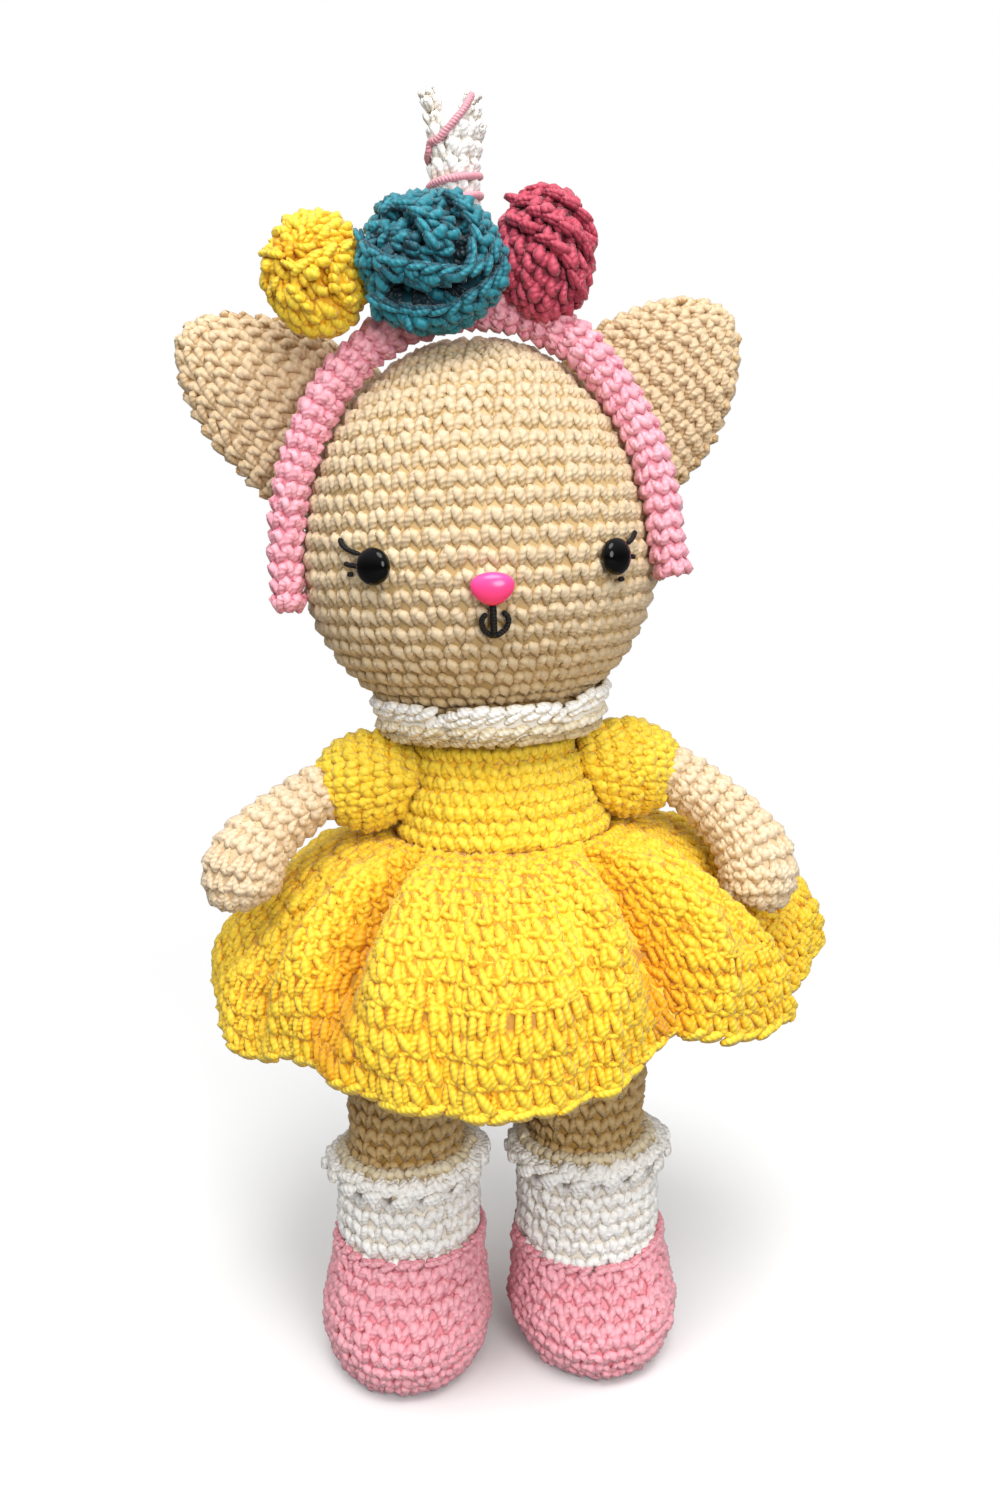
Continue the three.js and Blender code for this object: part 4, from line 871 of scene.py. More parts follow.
# The cloth is painted dark behind the round of open pairs, as the shade seen through open holes
hole_shade_low, hole_shade_high = round_edges[-5] + 0.6, round_edges[-4] - 0.6
row_of = np.arange(len(cloth["points"])) * 2 // skirt_rings.shape[1]
cloth["depth"][(row_of >= hole_shade_low) & (row_of <= hole_shade_high)] = -0.5
upper = rounds_of(len(round_edges) - 1, 4)
look = {"dim": fold_shade, "centre": skirt_centre, "steps": 4, "loose": 1.8}
loops = stitches(upper, seed=101, shape=treble, sink=1.35, thick=1.12, wide=3.8, tall=round_tall, **look)
lower_rounds = [(4, 3, 4.6, open_pair), (3, 2, 3.6, post), (2, 1, 3.7, post), (1, 0, 3.7, treble)]
for low, high, wide, shape in lower_rounds:
    one_round = {"wide": wide, "tall": one_round_tall, **look}
    loops += stitches(rounds_of(low, high), seed=102 + low, shape=shape, sink=1.05, thick=1.08, **one_round)
thick_chain = {"wide": 4.9, "sink": 0.8, "thick": 1.3}
loops += edge_loops(skirt_rings[-1], skirt_rings[-4], seed=111, centre=skirt_centre, **thick_chain)
look = {"side": -1, "centre": skirt_centre, "sink": -1.5, "wide": 4.2, "tall": 5.0, "loose": 1.7}
lining = stitches(skirt_rings, seed=121, sides=4, steps=3, **look)
faces = {"skirt_crochet": loops, "skirt_lining_loops": lining}
gathered("skirt_cloth", cloth, faces, yellow_yarn, "yellow_yarn", "skirt")


# Sleeves and arms
# Yellow puffed sleeves, and beige arms that thicken into round hands, stuffed and sewn in the sleeves. Each
# arm rides with its sleeve on a body of its own.
arm_yarn = cotton("pale_beige_mercerised_cotton", "#C29C6A", "#D8BA90", "#E6CDA8", "#EFDABB", gloss=0.55)
sleeve_radius, sleeve_spacing, sleeve_long_share = 12.2, 30.4, 1.14
# The sleeve narrows to its seam, which follows the bodice's round side and is sewn just into it
seam_narrowing, seam_depth, least_reach = 0.22, 0.5, math.sqrt(60)
shoulder_x = lean_at(shoulder_line)
arm_sizes = {"left": (31.0, 17.2), "right": (29.4, 24.5)}
arm_forward, hand_radius = 12.5, 9.4
# Stops down each arm: [share of its reach, of its way forward, of its drop, and of the hand's radius]
arm_shares = {
    "left": [
        [0.1, 0.02, 0, 0.62], [0.36, 0.16, 0.07, 0.73], [0.64, 0.4, 0.36, 0.78], [0.84, 0.68, 0.64, 0.9],
        [0.95, 0.9, 0.9, 1], [1, 1, 1.2, 0.94], [1.01, 1.04, 1.42, 0.66], [1.01, 1.05, 1.5, 0.3],
    ],
    "right": [
        [0.1, 0.02, 0, 0.62], [0.33, 0.14, 0.03, 0.73], [0.6, 0.36, 0.26, 0.77], [0.84, 0.62, 0.56, 0.86],
        [0.98, 0.88, 0.88, 1], [1, 1, 1.14, 0.95], [0.99, 1.04, 1.3, 0.66], [0.98, 1.05, 1.36, 0.3],
    ],
}


def smooth_line(stops, count):
    """A smooth line of points through given stops, with what else each stop holds."""
    stops = np.asarray(stops, float)
    ends = np.vstack([2 * stops[0] - stops[1], stops, 2 * stops[-1] - stops[-2]])
    place = np.linspace(0, len(stops) - 1, count)
    low = np.minimum(place.astype(int), len(stops) - 2)
    t = (place - low)[:, None]
    a, b, c, d = (ends[low + i] for i in range(4))
    square, cube = 2 * a - 5 * b + 4 * c - d, 3 * b - a - 3 * c + d
    return 0.5 * (2 * b + (c - a) * t + square * t ** 2 + cube * t ** 3)


def tube_rings(line, wide, deep, reference, angles=turns):
    """Rings round a line: wide along the cross product with the reference direction, deep across it."""
    along = unit(np.gradient(line, axis=0))
    aside = unit(np.cross(np.asarray(reference, float), along))
    across = np.cross(along, aside)
    round_it = (
        aside[:, None] * (np.asarray(wide).reshape(-1, 1) * np.cos(angles))[..., None]
        + across[:, None] * (np.asarray(deep).reshape(-1, 1) * np.sin(angles))[..., None]
    )
    return line[:, None] + round_it


for number, (side, sign) in enumerate(sides_of.items()):
    reach, drop = arm_sizes[side]
    rows = np.array(arm_shares[side])
    stops = np.stack([
        shoulder_x + sign * (sleeve_spacing + reach * rows[:, 0]),
        axis_y - arm_forward * rows[:, 1],
        shoulder_line - drop * rows[:, 2],
        hand_radius * rows[:, 3],
    ], -1)
    line = smooth_line(stops, 60)
    rings = tube_rings(line[:, :3], line[:, 3], line[:, 3], (0, 1, 0))
    shoulder = np.array([shoulder_x + sign * sleeve_spacing, axis_y, shoulder_line])

    def out_of_sleeve(points):
        return np.linalg.norm(points - shoulder, axis=1) > sleeve_radius - 1.5

    arm_stitch = {"wide": 3.8, "tall": 3.6, "keep": out_of_sleeve}
    parts = crocheted(rings, seed=131 + number, shape=snug, sink=1.6, cloth=1.1, depth=0.5, **arm_stitch)
    body = f"{side}_arm_body"
    dress(f"{side}_arm_crochet", parts, arm_yarn, body, "arm_yarn", f"{side}_arm", fill=0.85)

    sleeve_rings = []
    for inward in np.linspace(1, 0, 16)[:-1]:
        radius = sleeve_radius * (1 - seam_narrowing * inward ** 2)
        y, z = radius * np.cos(turns), shoulder_line + radius * np.sin(turns)
        share = (z - bodice_low[2]) / (bodice_high - bodice_low)[2]
        wall = bodice_radius(np.clip(share, 0, 0.99))
        touch = np.sqrt(np.maximum(wall ** 2 - y ** 2, least_reach ** 2)) - seam_depth
        x = sleeve_spacing + (touch - sleeve_spacing) * inward
        sleeve_rings.append(np.stack([shoulder_x + sign * x, axis_y + y, z], -1))
    for angle in np.linspace(0, np.pi / 2 - 0.06, 26):
        x = sleeve_spacing + sleeve_radius * math.sin(angle) * sleeve_long_share
        y = sleeve_radius * math.cos(angle) * np.cos(turns)
        z = shoulder_line + sleeve_radius * math.cos(angle) * np.sin(turns)
        sleeve_rings.append(np.stack([np.full(len(turns), shoulder_x + sign * x), axis_y + y, z], -1))
    sleeve_rings = np.stack(sleeve_rings)
    # Painted light: the sleeves' stitches are painted lighter, with 0.35 less shade
    parts = crocheted(sleeve_rings, seed=141 + number, wide=3.8, tall=3.5, dim=-0.35, depth=0.45)
    dress(f"{side}_sleeve_crochet", parts, yellow_yarn, body, "yellow_yarn", f"{side}_sleeve", fill=0.8)


# Neck and collar
# A stuffed beige stub carries the head. Round it stands a soft white collar of two rounds of loose slanting
# loops, in laps that meet in seams; the lap at the right stands up higher.
neck_radius, neck_lean = 12.0, 0.5 * (lean_at(shoulder_height) - axis_x)
neck_rings = np.stack([
    ring_at(axis_x + neck_lean * (1 - share), axis_y, heights_in("neck", share), neck_radius)
    for share in np.linspace(0, 1, 12)
])
parts = crocheted(neck_rings, seed=151, sink=1.6)
dress("neck_crochet", parts, skin_yarn, "torso", "skin_yarn", "neck", fill=0.95)

collar_low, collar_high = box("collar")
# Where each lap of the collar ends, as turns from the front, and how far its far end stands up
collar_ends = np.radians([-100, -28, 35.5, 100, 153, 207, 260])
collar_lifts = np.array([0.4, 0.0, 2.2, 0.6, 0.3, 0.6])
# A seam draws the collar in and down, and each lap bulges between two seams
seam_in, seam_down, lap_bulge = 2.0, 2.4, 0.7
# [share of the way up, radius, height over the collar's foot]
collar_shares = [[0, 23.2, 0.8], [0.25, 26.0, 2.2], [0.6, 27.0, 5.8], [1, 27.3, 9.0]]
collar_x, collar_radius = (collar_low + collar_high)[0] / 2, 26
from_front = np.mod(turns + np.pi / 2 - collar_ends[0], full_turn) + collar_ends[0]
lap = np.clip(np.searchsorted(collar_ends, from_front, side="right") - 1, 0, len(collar_lifts) - 1)
lap_share = (from_front - collar_ends[lap]) / (collar_ends[lap + 1] - collar_ends[lap])
from_end = np.minimum(from_front - collar_ends[lap], collar_ends[lap + 1] - from_front) * collar_radius
seam = seam_in * np.exp(-(from_end / 1.5) ** 2)
rise = collar_lifts[lap] * np.sin(0.6 * np.pi * lap_share) - seam_down * np.exp(-(from_end / 2.0) ** 2)
collar_rings = []
for share in np.linspace(0, 1, 12):
    radius = ease(collar_shares, share) + lap_bulge * np.sin(np.pi * lap_share) - seam
    height = collar_low[2] + ease(collar_shares, share, 2) + share * rise
    collar_rings.append(ring_at(collar_x, axis_y, height, radius))
collar_rings = np.stack(collar_rings)
collar_centre = [collar_x, axis_y, collar_low[2] + 3]
cloth = ground(collar_rings, sink=0.7, thick=1.2, centre=collar_centre, depth=0.8)


def foot_shade(points):
    """Shade painted on the collar's stitches near its foot."""
    return 0.7 * np.clip(1 - (points[:, 2] - collar_low[2] - 1) / 6, 0, 1)


look = {"centre": collar_centre, "dim": foot_shade, "sink": 1.0, "thick": 1.2, "wide": 3.8, "tall": 3.6}
loops = stitches(collar_rings, seed=161, shape=edge_chain, loose=1.6, **look)
loops += stitches(collar_rings, seed=171, side=-1, centre=collar_centre, tall=4.4, sink=-1.6, **thin_loops)
# Painted light: the edge's chain is painted lighter, with 0.2 less shade
thick_chain = {"sink": 0.7, "thick": 1.2, "dim": -0.2}
loops += edge_loops(collar_rings[-1], collar_rings[-3], seed=181, centre=collar_centre, **thick_chain)
faces = {"collar_crochet": loops}
gathered("collar_cloth", cloth, faces, cream_yarn, "white_yarn", "collar")


# Head
# An egg-shaped ball, beige single crochet in rounds from crown to neck, stuffed tight with polyester fibre.
# Its chin hangs over the collar, in shade.
head_radius = (head_high - head_low)[0] / 2
head_rise, head_drop = head_radius * 50.5 / 41.0, head_radius * 38.5 / 41.0
head_height = head_high[2] - head_rise
chin_power, crown_power = 1.9, 2.0


def head_point(turn, rise, grow=0.0):
    """Point of the head's skin at a turn from the front and a rise over its middle."""
    turn, rise = np.broadcast_arrays(np.asarray(turn, float), np.asarray(rise, float))
    reach = np.where(rise >= 0, head_rise, head_drop) + grow
    power = np.where(rise >= 0, crown_power, chin_power)
    share = np.clip(np.abs(rise) / reach, 0, 1)
    radius = (head_radius + grow) * (1 - share ** power) ** (1 / power)
    return np.stack([axis_x + radius * np.sin(turn), axis_y - radius * np.cos(turn), head_height + rise], -1)


opening_share = (1 - (neck_opening / head_radius) ** chin_power) ** (1 / chin_power)
rises = np.concatenate([
    -head_drop * np.sin(np.linspace(np.arcsin(opening_share), 0, 40)[:-1]),
    head_rise * np.sin(np.linspace(0, np.pi / 2 - 0.03, 50)),
])
head_rings = np.stack([head_point(turns, rise) for rise in rises])


# Where each of the chin's two painted shades starts under the head's middle, and how tall it is
chin_shades, chin_dark = [(12, 24), (33.5, 4)], 0.4


def chin_shade(points):
    """Shade painted on the chin as a deeper colour, and on the last rounds over the collar the deepest."""
    below = head_height - points[:, 2]
    chin, collar_edge = (np.clip((below - start) / tall, 0, 1) for start, tall in chin_shades)
    return chin_dark * chin + chin_dark * collar_edge


parts = crocheted(head_rings, seed=191, wide=4.2, tall=4.1, dim=chin_shade, cloth=1.05)
dress("head_crochet", parts, skin_yarn, "head", "skin_yarn", "head_cover", fill=1.0)

stuffing = fibrous("white_polyester_stuffing", "#D9D5CB", "#F8F6F0", grain=2.5, detail=6.0,
                    strength=0.8, relief=1.0, rough=0.95, sheen=0.5)
paint("head_filling", stuffing)
paint("body_filling", stuffing)


# Ears
# Flattened stuffed triangles with rounded tips, worked in rounds from the tip, sewn to the crown's sides.
# Their yarn is a little paler than the head's, as the arms' is.
ear_half_thick, ear_back = 6.5, 5.0
# How the ear's rounded triangle narrows to its tip
ear_powers = 2.3, 0.62
ear_root_reach, ear_root_rise = 0.775 * head_radius, 0.564 * head_rise
# Each ear's length, half width and lean from level as a share of a turn
ear_sizes = {"left": (42.5, 19.4, 0.106), "right": (39.5, 20.6, 0.121)}


def inside_head(points, grow=0.0):
    """How far out of the head's middle points lie, as shares: under 1 is inside its skin."""
    rise = points[..., 2] - head_height
    reach = np.where(rise >= 0, head_rise, head_drop) + grow
    flat = np.hypot(points[..., 0] - axis_x, points[..., 1] - axis_y) / (head_radius + grow)
    return np.sqrt(flat ** 2 + (rise / reach) ** 2)


def push_off_head(points, gap):
    """Points that lie in the head are moved out onto its skin."""
    share = inside_head(points, gap)
    middle = np.array([axis_x, axis_y, head_height])
    pushed = middle + (points - middle) / np.maximum(share, 0.2)[..., None]
    return np.where(share[..., None] < 1, pushed, points)


for number, (side, sign) in enumerate(sides_of.items()):
    ear_length, ear_half_width, lean_share = ear_sizes[side]
    lean = lean_share * full_turn
    along = sign * math.cos(lean), math.sin(lean)
    beside = -math.sin(lean), sign * math.cos(lean)
    rings = []
    for share in np.linspace(0, 0.995, 50):
        full = (1 - share ** ear_powers[0]) ** ear_powers[1]
        wide, thick = ear_half_width * full * np.cos(turns), ear_half_thick * math.sqrt(full) * np.sin(turns)
        x = axis_x + sign * ear_root_reach + along[0] * ear_length * share + beside[0] * wide
        z = head_height + ear_root_rise + along[1] * ear_length * share + beside[1] * wide
        rings.append(np.stack([x, axis_y + ear_back + thick, z], -1))
    rings = np.stack(rings)
    body = ground(rings)
    body["points"] = push_off_head(body["points"], 0.3)

    def out_of_head(points):
        return inside_head(points, 0.6) > 1

    # Painted shade: the ears' stitches are painted 0.25 deeper toward the yarn's shade colours
    parts = [body] + stitches(rings, seed=201 + number, shape=snug, dim=0.25, wide=4.0, keep=out_of_head)
    dress(f"{side}_ear_crochet", parts, arm_yarn, "head", "skin_yarn", f"{side}_ear", fill=0.6)


# Eyes and nose
# Moulded plastic safety eyes, glossy black domes, and a pink plastic nose, wider than high. Their shanks pass
# through the cover to washers inside.
def smooth_plastic(name, top, bottom, rough, shine):
    """Injection-moulded acrylic or ABS with a polished face: its body colour, painted lighter at the top and
    darker at the bottom as lit from above, under a sharp clear gloss.
    """
    material, tree = new_material(name)
    body = blend(tree, node(tree, "Attribute", attribute_name="depth")["Fac"], bottom, top)
    surface(tree, {"Base Color": body, "Roughness": rough, "IOR": 1.49, "Specular IOR Level": shine})
    return material


def head_frame(turn, rise):
    """Directions across, up and out of the head's skin at a place."""
    small = 0.01
    across = head_point(turn + small / head_radius, rise) - head_point(turn - small / head_radius, rise)
    up = head_point(turn, rise + small) - head_point(turn, rise - small)
    out = unit(np.cross(across, up))
    across = unit(across)
    return across, np.cross(out, across), out


def domed_button(turn, rise, half_wide, half_high, depth, lift, taper=0.0):
    """A domed front with a rounded rim and its shank, standing out of the head's skin. Its rows hold a radius
    in millimetres for the shank, or a share for the dome, then a height, and 1 for the shank."""
    across, up, out = head_frame(turn, rise)
    base = head_point(turn, rise, lift)
    shank, shank_long, rim_depth = 1.4, 8.0, 0.28
    rows = [(shank, -shank_long, 1), (shank, 0, 1), (0.9, -0.1, 0), (0.97, 0, 0)]
    for angle in np.linspace(0, np.pi / 2 - 0.08, 12):
        rows.append((math.cos(angle), depth * (rim_depth + (1 - rim_depth) * math.sin(angle)), 0))
    rings = []
    for radius, height, shaft in rows:
        wide, high = (radius, radius) if shaft else (half_wide * radius, half_high * radius)
        narrowing = 1 if shaft else 1 + taper * np.sin(turns) - taper * 0.4
        flat = across * (wide * narrowing * np.cos(turns))[:, None] + up * (high * np.sin(turns))[:, None]
        rings.append(base + flat + out * height)
    part = shell(np.stack(rings)[:, ::3])
    # Painted light: how far up the button a point lies sets its lighter or darker colour
    part["depth"] = np.clip(((part["points"] - base) @ up) / half_high * 0.5 + 0.5, 0, 1)
    return turned_outward(part)


eye_plastic = smooth_plastic("polished_black_acrylic", "#060607", "#030303", rough=0.08, shine=0.2)
nose_plastic = smooth_plastic("polished_pink_acrylic", "#FF4FA0", "#FF3A66", rough=0.22, shine=0.5)
eye_rise, nose_rise = 1.5, -3.6
eye_turns = {"left": -0.097 * full_turn, "right": 0.1062 * full_turn}
nose_turn = -0.002 * full_turn
eye_radius, eye_depth, eye_lift = 3.9, 3.0, 0.7
nose_half_wide, nose_half_high, nose_depth, nose_lift, nose_taper = 4.8, 3.4, 2.8, 0.6, 0.2
for side in sides_of:
    eye = domed_button(eye_turns[side], eye_rise, eye_radius, eye_radius, eye_depth, eye_lift)
    dress(f"{side}_eye_dome", [eye], eye_plastic, "head", "eye_plastic", f"{side}_eye")
nose = domed_button(nose_turn, nose_rise, nose_half_wide, nose_half_high, nose_depth, nose_lift, nose_taper)
dress("nose_button", [nose], nose_plastic, "head", "nose_plastic", "nose")
washer_plastic, tree = new_material("natural_nylon")
surface(tree, {"Base Color": colour("#DEDEDA"), "Roughness": 0.35, "Transmission Weight": 0.3})
for name in ("left_eye_washer", "right_eye_washer", "nose_washer"):
    paint(name, washer_plastic)


# Lashes and mouth
# Black cotton thread sewn over the cover: three stitches at the outside of each eye, and a mouth of one
# upright stitch with a curved one at each side.
black_thread = cotton("black_cotton_thread", "#010101", "#020202", "#050505", "#0A0A0A", gloss=0.6, sheen=0.0)


# How far over the cover a sewn thread lies, how it narrows at its ends, and the length of one twist
thread_lift, start_share, end_share, thread_pitch = 0.35, 0.7, 0.65, 0.6 * ply_pitch


def sewn(turn, rise, shares, unit_size, thick):
    """A tapering sewn thread over the head, from shares across and up in that unit."""
    line = smooth_line(shares, 12)
    turned, risen = turn + line[:, 0] * unit_size / head_radius, rise + line[:, 1] * unit_size
    centre = head_point(turned, risen, thread_lift + thick / 2)
    out = head_frame(turned, risen)[2]
    return thread(centre, out, thick / 2 * np.array([start_share] + [1.0] * 10 + [end_share]))


def thread(line, out, radius):
    """A thread along a line on a surface, with its twist running along it."""
    angles = np.linspace(0, full_turn, 10, endpoint=False)
    rings = tube_rings(line, radius, -radius, -np.asarray(out), angles)
    part = shell(rings, depth=1.0)
    middle = rings.mean(1)
    length = np.concatenate([[0], np.cumsum(np.linalg.norm(np.diff(middle, axis=0), axis=1))])
    twist = length[:, None] / thread_pitch + np.arange(rings.shape[1])[None] / rings.shape[1] * 2
    part["twist"] = np.concatenate([twist.ravel(), [0, length[-1] / thread_pitch]])
    return turned_outward(part)


# Stops across and up from the middle of the eye or nose, in eye radii or half the nose's height
lash_thick, mouth_threads = 1.1, (1.45, 1.2, 1.2)
lash_shares = {
    "left": [
        [[-0.95, 0.66], [-1.8, 0.9], [-2.3, 1.22], [-2.42, 1.52]],
        [[-1.1, 0.04], [-1.6, 0.08], [-2.05, 0.18]],
        [[-1.52, -0.36], [-1.68, -0.4], [-1.8, -0.38]],
    ],
    "right": [
        [[1.15, 0.64], [1.6, 0.86], [1.85, 1.05], [2.05, 1.28]],
        [[1.1, -0.05], [1.5, -0.06], [1.75, -0.1]],
        [[0.44, -1.2], [0.58, -1.24], [0.72, -1.2]],
    ],
}
for side in sides_of:
    place = eye_turns[side], eye_rise
    strands = [sewn(*place, shares, eye_radius, lash_thick) for shares in lash_shares[side]]
    dress(f"{side}_lashes_thread", strands, black_thread, "head", "black_thread", f"{side}_lashes")
mouth_shares = [
    [[0, -0.9], [0.02, -2.0], [0.05, -2.95]],
    [[-0.4, -1.5], [-0.7, -1.9], [-0.58, -2.5], [0.0, -2.95]],
    [[0.58, -1.4], [0.94, -1.85], [0.76, -2.5], [0.08, -2.95]],
]
strands = [
    sewn(nose_turn, nose_rise, shares, nose_half_high, thick)
    for shares, thick in zip(mouth_shares, mouth_threads)
]
dress("mouth_thread", strands, black_thread, "head", "black_thread", "mouth")


# Headband
# A pink crocheted cord, five or six stitches round and stuffed, bent over the head in front of the ears. Its
# ends press on the cheeks.
band_yarn = cotton("rose_mercerised_cotton", "#D2748A", "#E48C9D", "#F3A3B2", "#FAB6C2")
band_high = box("headband")[1]
band_half_wide, band_half_deep = 3.5, 3.7
band_apex = band_high[2] - band_half_wide
band_forward, right_forward, band_gap = 10.2, 11.0, 0.3


def band_reach(forward):
    """How far out the band's line lies when it touches the head's side that far forward."""
    touch = forward - band_half_deep / 2
    return math.sqrt(head_radius ** 2 - touch ** 2) + band_gap + band_half_wide * math.cos(math.pi / 8)


# The arch is a little fuller than round
arch_power = 2 / 2.05
stops = []
for angle in np.linspace(0, np.pi, 61):
    across, up = -math.cos(angle), math.sin(angle)
    reach = band_reach(band_forward if across < 0 else band_forward + right_forward)
    x = axis_x + reach * math.copysign(abs(across) ** arch_power, across)
    y = axis_y - band_forward - right_forward * max(0.0, across) ** 2
    stops.append((x, y, head_height + (band_apex - head_height) * up ** arch_power))
left_end = np.array(stops[0]) - [0, 0, 8.0]
right_end = np.array(stops[-1]) + [1.4, 0, -3.2]
band_line = np.array([left_end, *stops, right_end])
band_line = smooth_line(band_line[::2], 140)
# The cord spreads a little where the flowers pull on it, and its yarn stands out
band_spread = 0.9 * np.clip((band_line[:, 2] - head_height) / (band_apex - head_height), 0, 1)
yarn_relief = 0.4
band_wide = band_half_wide + yarn_relief + band_spread
band_rings = tube_rings(band_line, band_wide, np.full(140, band_half_deep), (0, 1, 0))
band_stitch = {"centre": band_line.mean(0), "wide": 3.8, "tall": 3.5}
parts = [ground(band_rings, sink=1.0, depth=0.5)]
# Painted light: the band's stitches are painted a little lighter, with 0.1 less shade
parts += stitches(band_rings, seed=211, shape=snug, dim=-0.1, steps=4, sink=1.4, **band_stitch)
dress("headband_crochet", parts, band_yarn, "flower_headband", "pink_yarn", "headband", fill=0.7)


# Flowers
# Three crocheted strips rolled up into flattened balls and sewn to the front of the headband: a large teal
# one in the middle, a yellow one at the left and a raspberry one at the right.
teal_yarn = cotton("teal_mercerised_cotton", "#01222B", "#044554", "#157080", "#2E96A6")
raspberry_yarn = cotton("raspberry_mercerised_cotton", "#640E20", "#92223A", "#BC3A52", "#D6586E")
# A single crochet in a loosely rolled strip, where its first leg lies over the second
rolled = [
    ([(-0.50, 0.24, 0.02), (-0.16, 0.58, 0.30), (0.12, -0.56, 0.0)], 0.36),
    ([(0.46, 0.34, 0.0), (0.44, 0.0, 0.10), (0.24, -0.50, -0.06)], 0.3),
]


def fold_distance(points, middle, half, line):
    """How far points of a flower lie from a fold seen from the front, more than 0 on its raised side."""
    flat = (points - middle)[..., [0, 2]]
    way = line * half[[0, 2]]
    gap = flat[..., None, :] - way
    near = np.argmin((gap ** 2).sum(-1), axis=-1)
    gap = np.take_along_axis(gap, near[..., None, None], axis=-2)[..., 0, :]
    along = unit(np.gradient(way, axis=0))[near]
    side = np.sign(gap[..., 0] * along[..., 1] - gap[..., 1] * along[..., 0])
    share = near / (len(line) - 1)
    return side * np.linalg.norm(gap, axis=-1), np.clip(np.minimum(share, 1 - share) / 0.12, 0, 1)


# A fold's raised side and the gap beside it: how far from its line, and how wide
raised_at, raised_wide, gap_at, gap_wide = 1.5, 2.0, 0.9, 1.1
# How far on the raised side the two lines of a fold's chain lie
chain_rows = 3.0, 0.5


def folded_flower(name, material, slot, seed, pole, folds):
    """The ball that a rolled strip makes: rounds of stitches about the roll's middle, and a fold wherever the
    strip's chained edge shows. Folds are lines of points across and up, as shares of the ball's half sizes,
    with the height of the raised side and the depth of the gap beside it in millimetres."""
    low, high = box(name)
    middle, half = (low + high) / 2, (high - low) / 2 - 0.8
    heading = np.array([pole[0], -math.sqrt(1 - pole[0] ** 2 - pole[1] ** 2), pole[1]])
    right = unit(np.cross([0, 0, 1], heading))
    above = np.cross(heading, right)
    lines = [(smooth_line(stops, 40), rise, gap) for stops, rise, gap in folds]

    def lift(points):
        total = np.zeros(points.shape[:-1])
        for line, rise, gap in lines:
            away, strong = fold_distance(points, middle, half, line)
            raised = rise * np.exp(-((away - raised_at) / raised_wide) ** 2)
            sunk = gap * np.exp(-((away + gap_at) / gap_wide) ** 2)
            total = total + (raised - sunk) * strong
        return total * (points[..., 1] < middle[1])

    rings = []
    for polar in np.linspace(0.07, np.pi - 0.07, 64):
        flat = right * np.cos(turns)[:, None] + above * np.sin(turns)[:, None]
        rings.append(heading * math.cos(polar) + flat * math.sin(polar))
    ball = middle + np.stack(rings) * half
    rings = ball + unit(ball - middle) * lift(ball)[..., None]

    # Painted shade in the gaps beside the folds; the cloth between the stitches is painted near the deepest
    # colour too
    def gap_shade(points):
        return np.clip(-lift(points) * 0.45, 0, 1)

    look = {"cloth": 1.0, "depth": 0.2, "wide": 3.8, "tall": 3.4, "loose": 1.8}
    parts = crocheted(rings, seed, rolled, dim=gap_shade, centre=middle, **look)
    for number, (line, rise, gap) in enumerate(lines):
        edges, flat = [], line * half[[0, 2]]
        beside = unit(np.gradient(flat, axis=0))[:, ::-1] * [1, -1]
        for inward in chain_rows:
            x, z = ((flat + beside * inward) / half[[0, 2]]).T
            y = -np.sqrt(np.clip(1 - x ** 2 - z ** 2, 0.03, 1))
            edge = middle + np.stack([x, y, z], -1) * half
            edges.append(edge + unit(edge - middle) * rise)
        open_chain = {"wide": 3.7, "sink": 0.7, "closed": False, "centre": middle}
        parts += edge_loops(edges[1], edges[0], seed + 1 + number, **open_chain)
    dress(f"{name}_crochet", parts, material, "flower_headband", slot, name, fill=0.5)


folded_flower("teal_rose", teal_yarn, "teal_yarn", 221, (-0.6, 0.3), [
    ([(-0.06, 0.06), (-0.13, 0.34), (-0.33, 0.6), (-0.5, 0.66), (-0.66, 0.54)], 1.0, 2.2),
    ([(0.36, -0.22), (0.45, 0.0), (0.48, 0.32), (0.37, 0.58), (0.18, 0.86)], 1.2, 2.4),
    ([(-0.93, 0.38), (-0.8, 0.12), (-0.52, -0.06), (-0.15, -0.15),
      (0.22, -0.2), (0.6, -0.14), (0.76, 0.16)], 1.3, 1.4),
    ([(-0.8, -0.42), (-0.62, -0.55), (-0.2, -0.67), (0.22, -0.62),
      (0.53, -0.43), (0.75, -0.26), (0.88, 0.0)], 1.6, 5.0),
])
folded_flower("yellow_rose", yellow_yarn, "yellow_yarn", 231, (-0.35, 0.35), [
    ([(-0.92, 0.3), (-0.6, 0.2), (-0.3, 0.02), (0.07, 0.18), (0.5, 0.3), (0.86, 0.42)], 1.0, 1.8),
    ([(-0.86, -0.24), (-0.52, -0.16), (-0.3, -0.36), (-0.1, -0.6)], 0.9, 1.6),
    ([(0.62, -0.5), (0.3, -0.36), (0.3, 0.0)], 0.7, 1.2),
])
folded_flower("raspberry_rose", raspberry_yarn, "raspberry_yarn", 241, (0.55, 0.6), [
    ([(0.82, -0.12), (0.59, 0.14), (0.1, 0.35), (-0.38, 0.63), (-0.8, 0.88)], 0.35, 1.3),
    ([(0.74, -0.66), (0.45, -0.4), (0.15, 0.0), (-0.3, 0.21), (-0.78, 0.49)], 0.35, 1.3),
    ([(0.95, 0.2), (0.67, 0.52), (0.15, 0.77), (-0.35, 0.95)], 0.35, 1.3),
])


# Horn
# A narrow white crocheted tube that stands up behind the flowers, forked at its top, with a thin pink thread
# wound up it.
horn_low, horn_high = box("horn")
horn_radius, horn_notch = 5.4, 7.0
horn_x, horn_y = axis_x - 2.9, (horn_low + horn_high)[1] / 2
horn_height = horn_high[2] - horn_low[2]
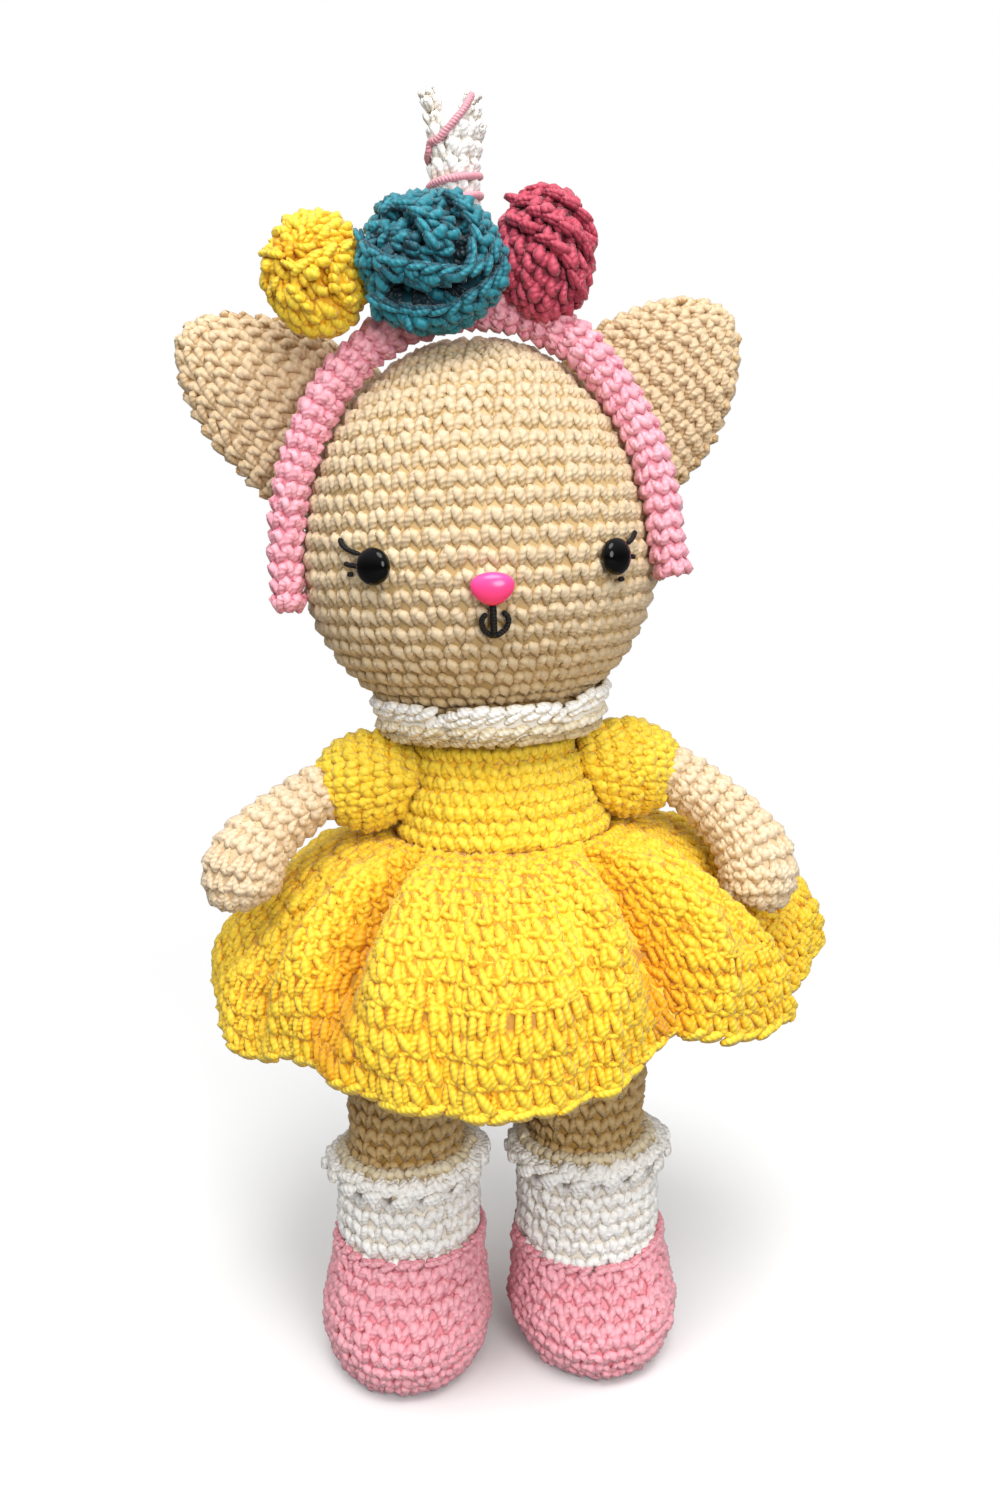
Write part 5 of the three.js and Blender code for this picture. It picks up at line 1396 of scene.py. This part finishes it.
# [share of the height, how far aside, how full], the last two as shares of its radius
horn_shares = [[0, 0, 1], [0.55, 0, 0.97], [0.82, 0.14, 1.07], [1, -0.04, 1]]


def horn_middle(share):
    """The horn's middle and radius at a share of its height."""
    return horn_x + horn_radius * ease(horn_shares, share), horn_radius * ease(horn_shares, share, 2)


def horn_ring(share):
    x, radius = horn_middle(share)
    return ring_at(x, horn_y, horn_low[2] + horn_height * share, radius)


horn_fork = horn_high[2] - horn_notch
fork_share = 1 - horn_notch / horn_height
horn_rings = np.stack([horn_ring(share) for share in np.linspace(0, fork_share, 30)])
parts = crocheted(horn_rings, seed=251, shape=rolled, depth=0.8, wide=3.7, tall=3.8)
# The fork's two prongs, as rows of [height share of the notch, middle aside, half width]
prongs = [
    [[-0.4, -0.55, 0.4], [0.1, -0.66, 0.31], [0.6, -0.74, 0.36], [0.9, -0.86, 0.26], [1.08, -0.94, 0.1]],
    [[-0.4, 0.3, 0.8], [0.0, 0.46, 0.8], [0.35, 0.62, 0.56], [0.7, 0.76, 0.36], [1.0, 0.88, 0.14]],
]
for number, rows in enumerate(prongs):
    rings = np.stack([
        ring_at(horn_x + horn_radius * aside, horn_y, horn_fork + horn_notch * up, horn_radius * half,
                horn_radius * min(0.7, half * 1.3))
        for up, aside, half in smooth_line(rows, 16)
    ])
    prong_stitch = {"wide": 3.0, "tall": 3.2, "least": 3}
    parts += crocheted(rings, seed=253 + number, cloth=1.1, depth=0.6, sink=0.9, thick=0.62, **prong_stitch)
dress("horn_crochet", parts, white_yarn, "flower_headband", "white_yarn", "horn", fill=0.6)

pink_thread = cotton("pink_cotton_thread", "#B0606F", "#CE8090", "#E095A2", "#EEAEB8")
thread_radius, first_wound, sunk_share = 0.8, -0.12, 0.35
# The thread winds down from the tip of the right prong: [turns, share of the horn's height from its top]
winding_shares = [
    [0, 0.047], [0.22, 0.254], [0.31, 0.27], [0.36, 0.32], [0.6, 0.37], [0.88, 0.43],
    [1.13, 0.465], [1.38, 0.49], [1.88, 0.53], [2.13, 0.57], [2.5, 0.66],
]
wound, drop = smooth_line(winding_shares, 150).T
turn, share = full_turn * (first_wound - wound), 1 - drop
middle_x, reach = horn_middle(share)
reach = reach + sunk_share * thread_radius
x, y = middle_x + reach * np.cos(turn), horn_y + reach * np.sin(turn)
z = horn_low[2] + horn_height * share
winding = thread(np.stack([x, y, z], -1), [0, 0, 1], thread_radius)
dress("horn_thread_winding", [winding], pink_thread, "flower_headband", "pink_thread", "horn_thread")

low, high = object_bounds()
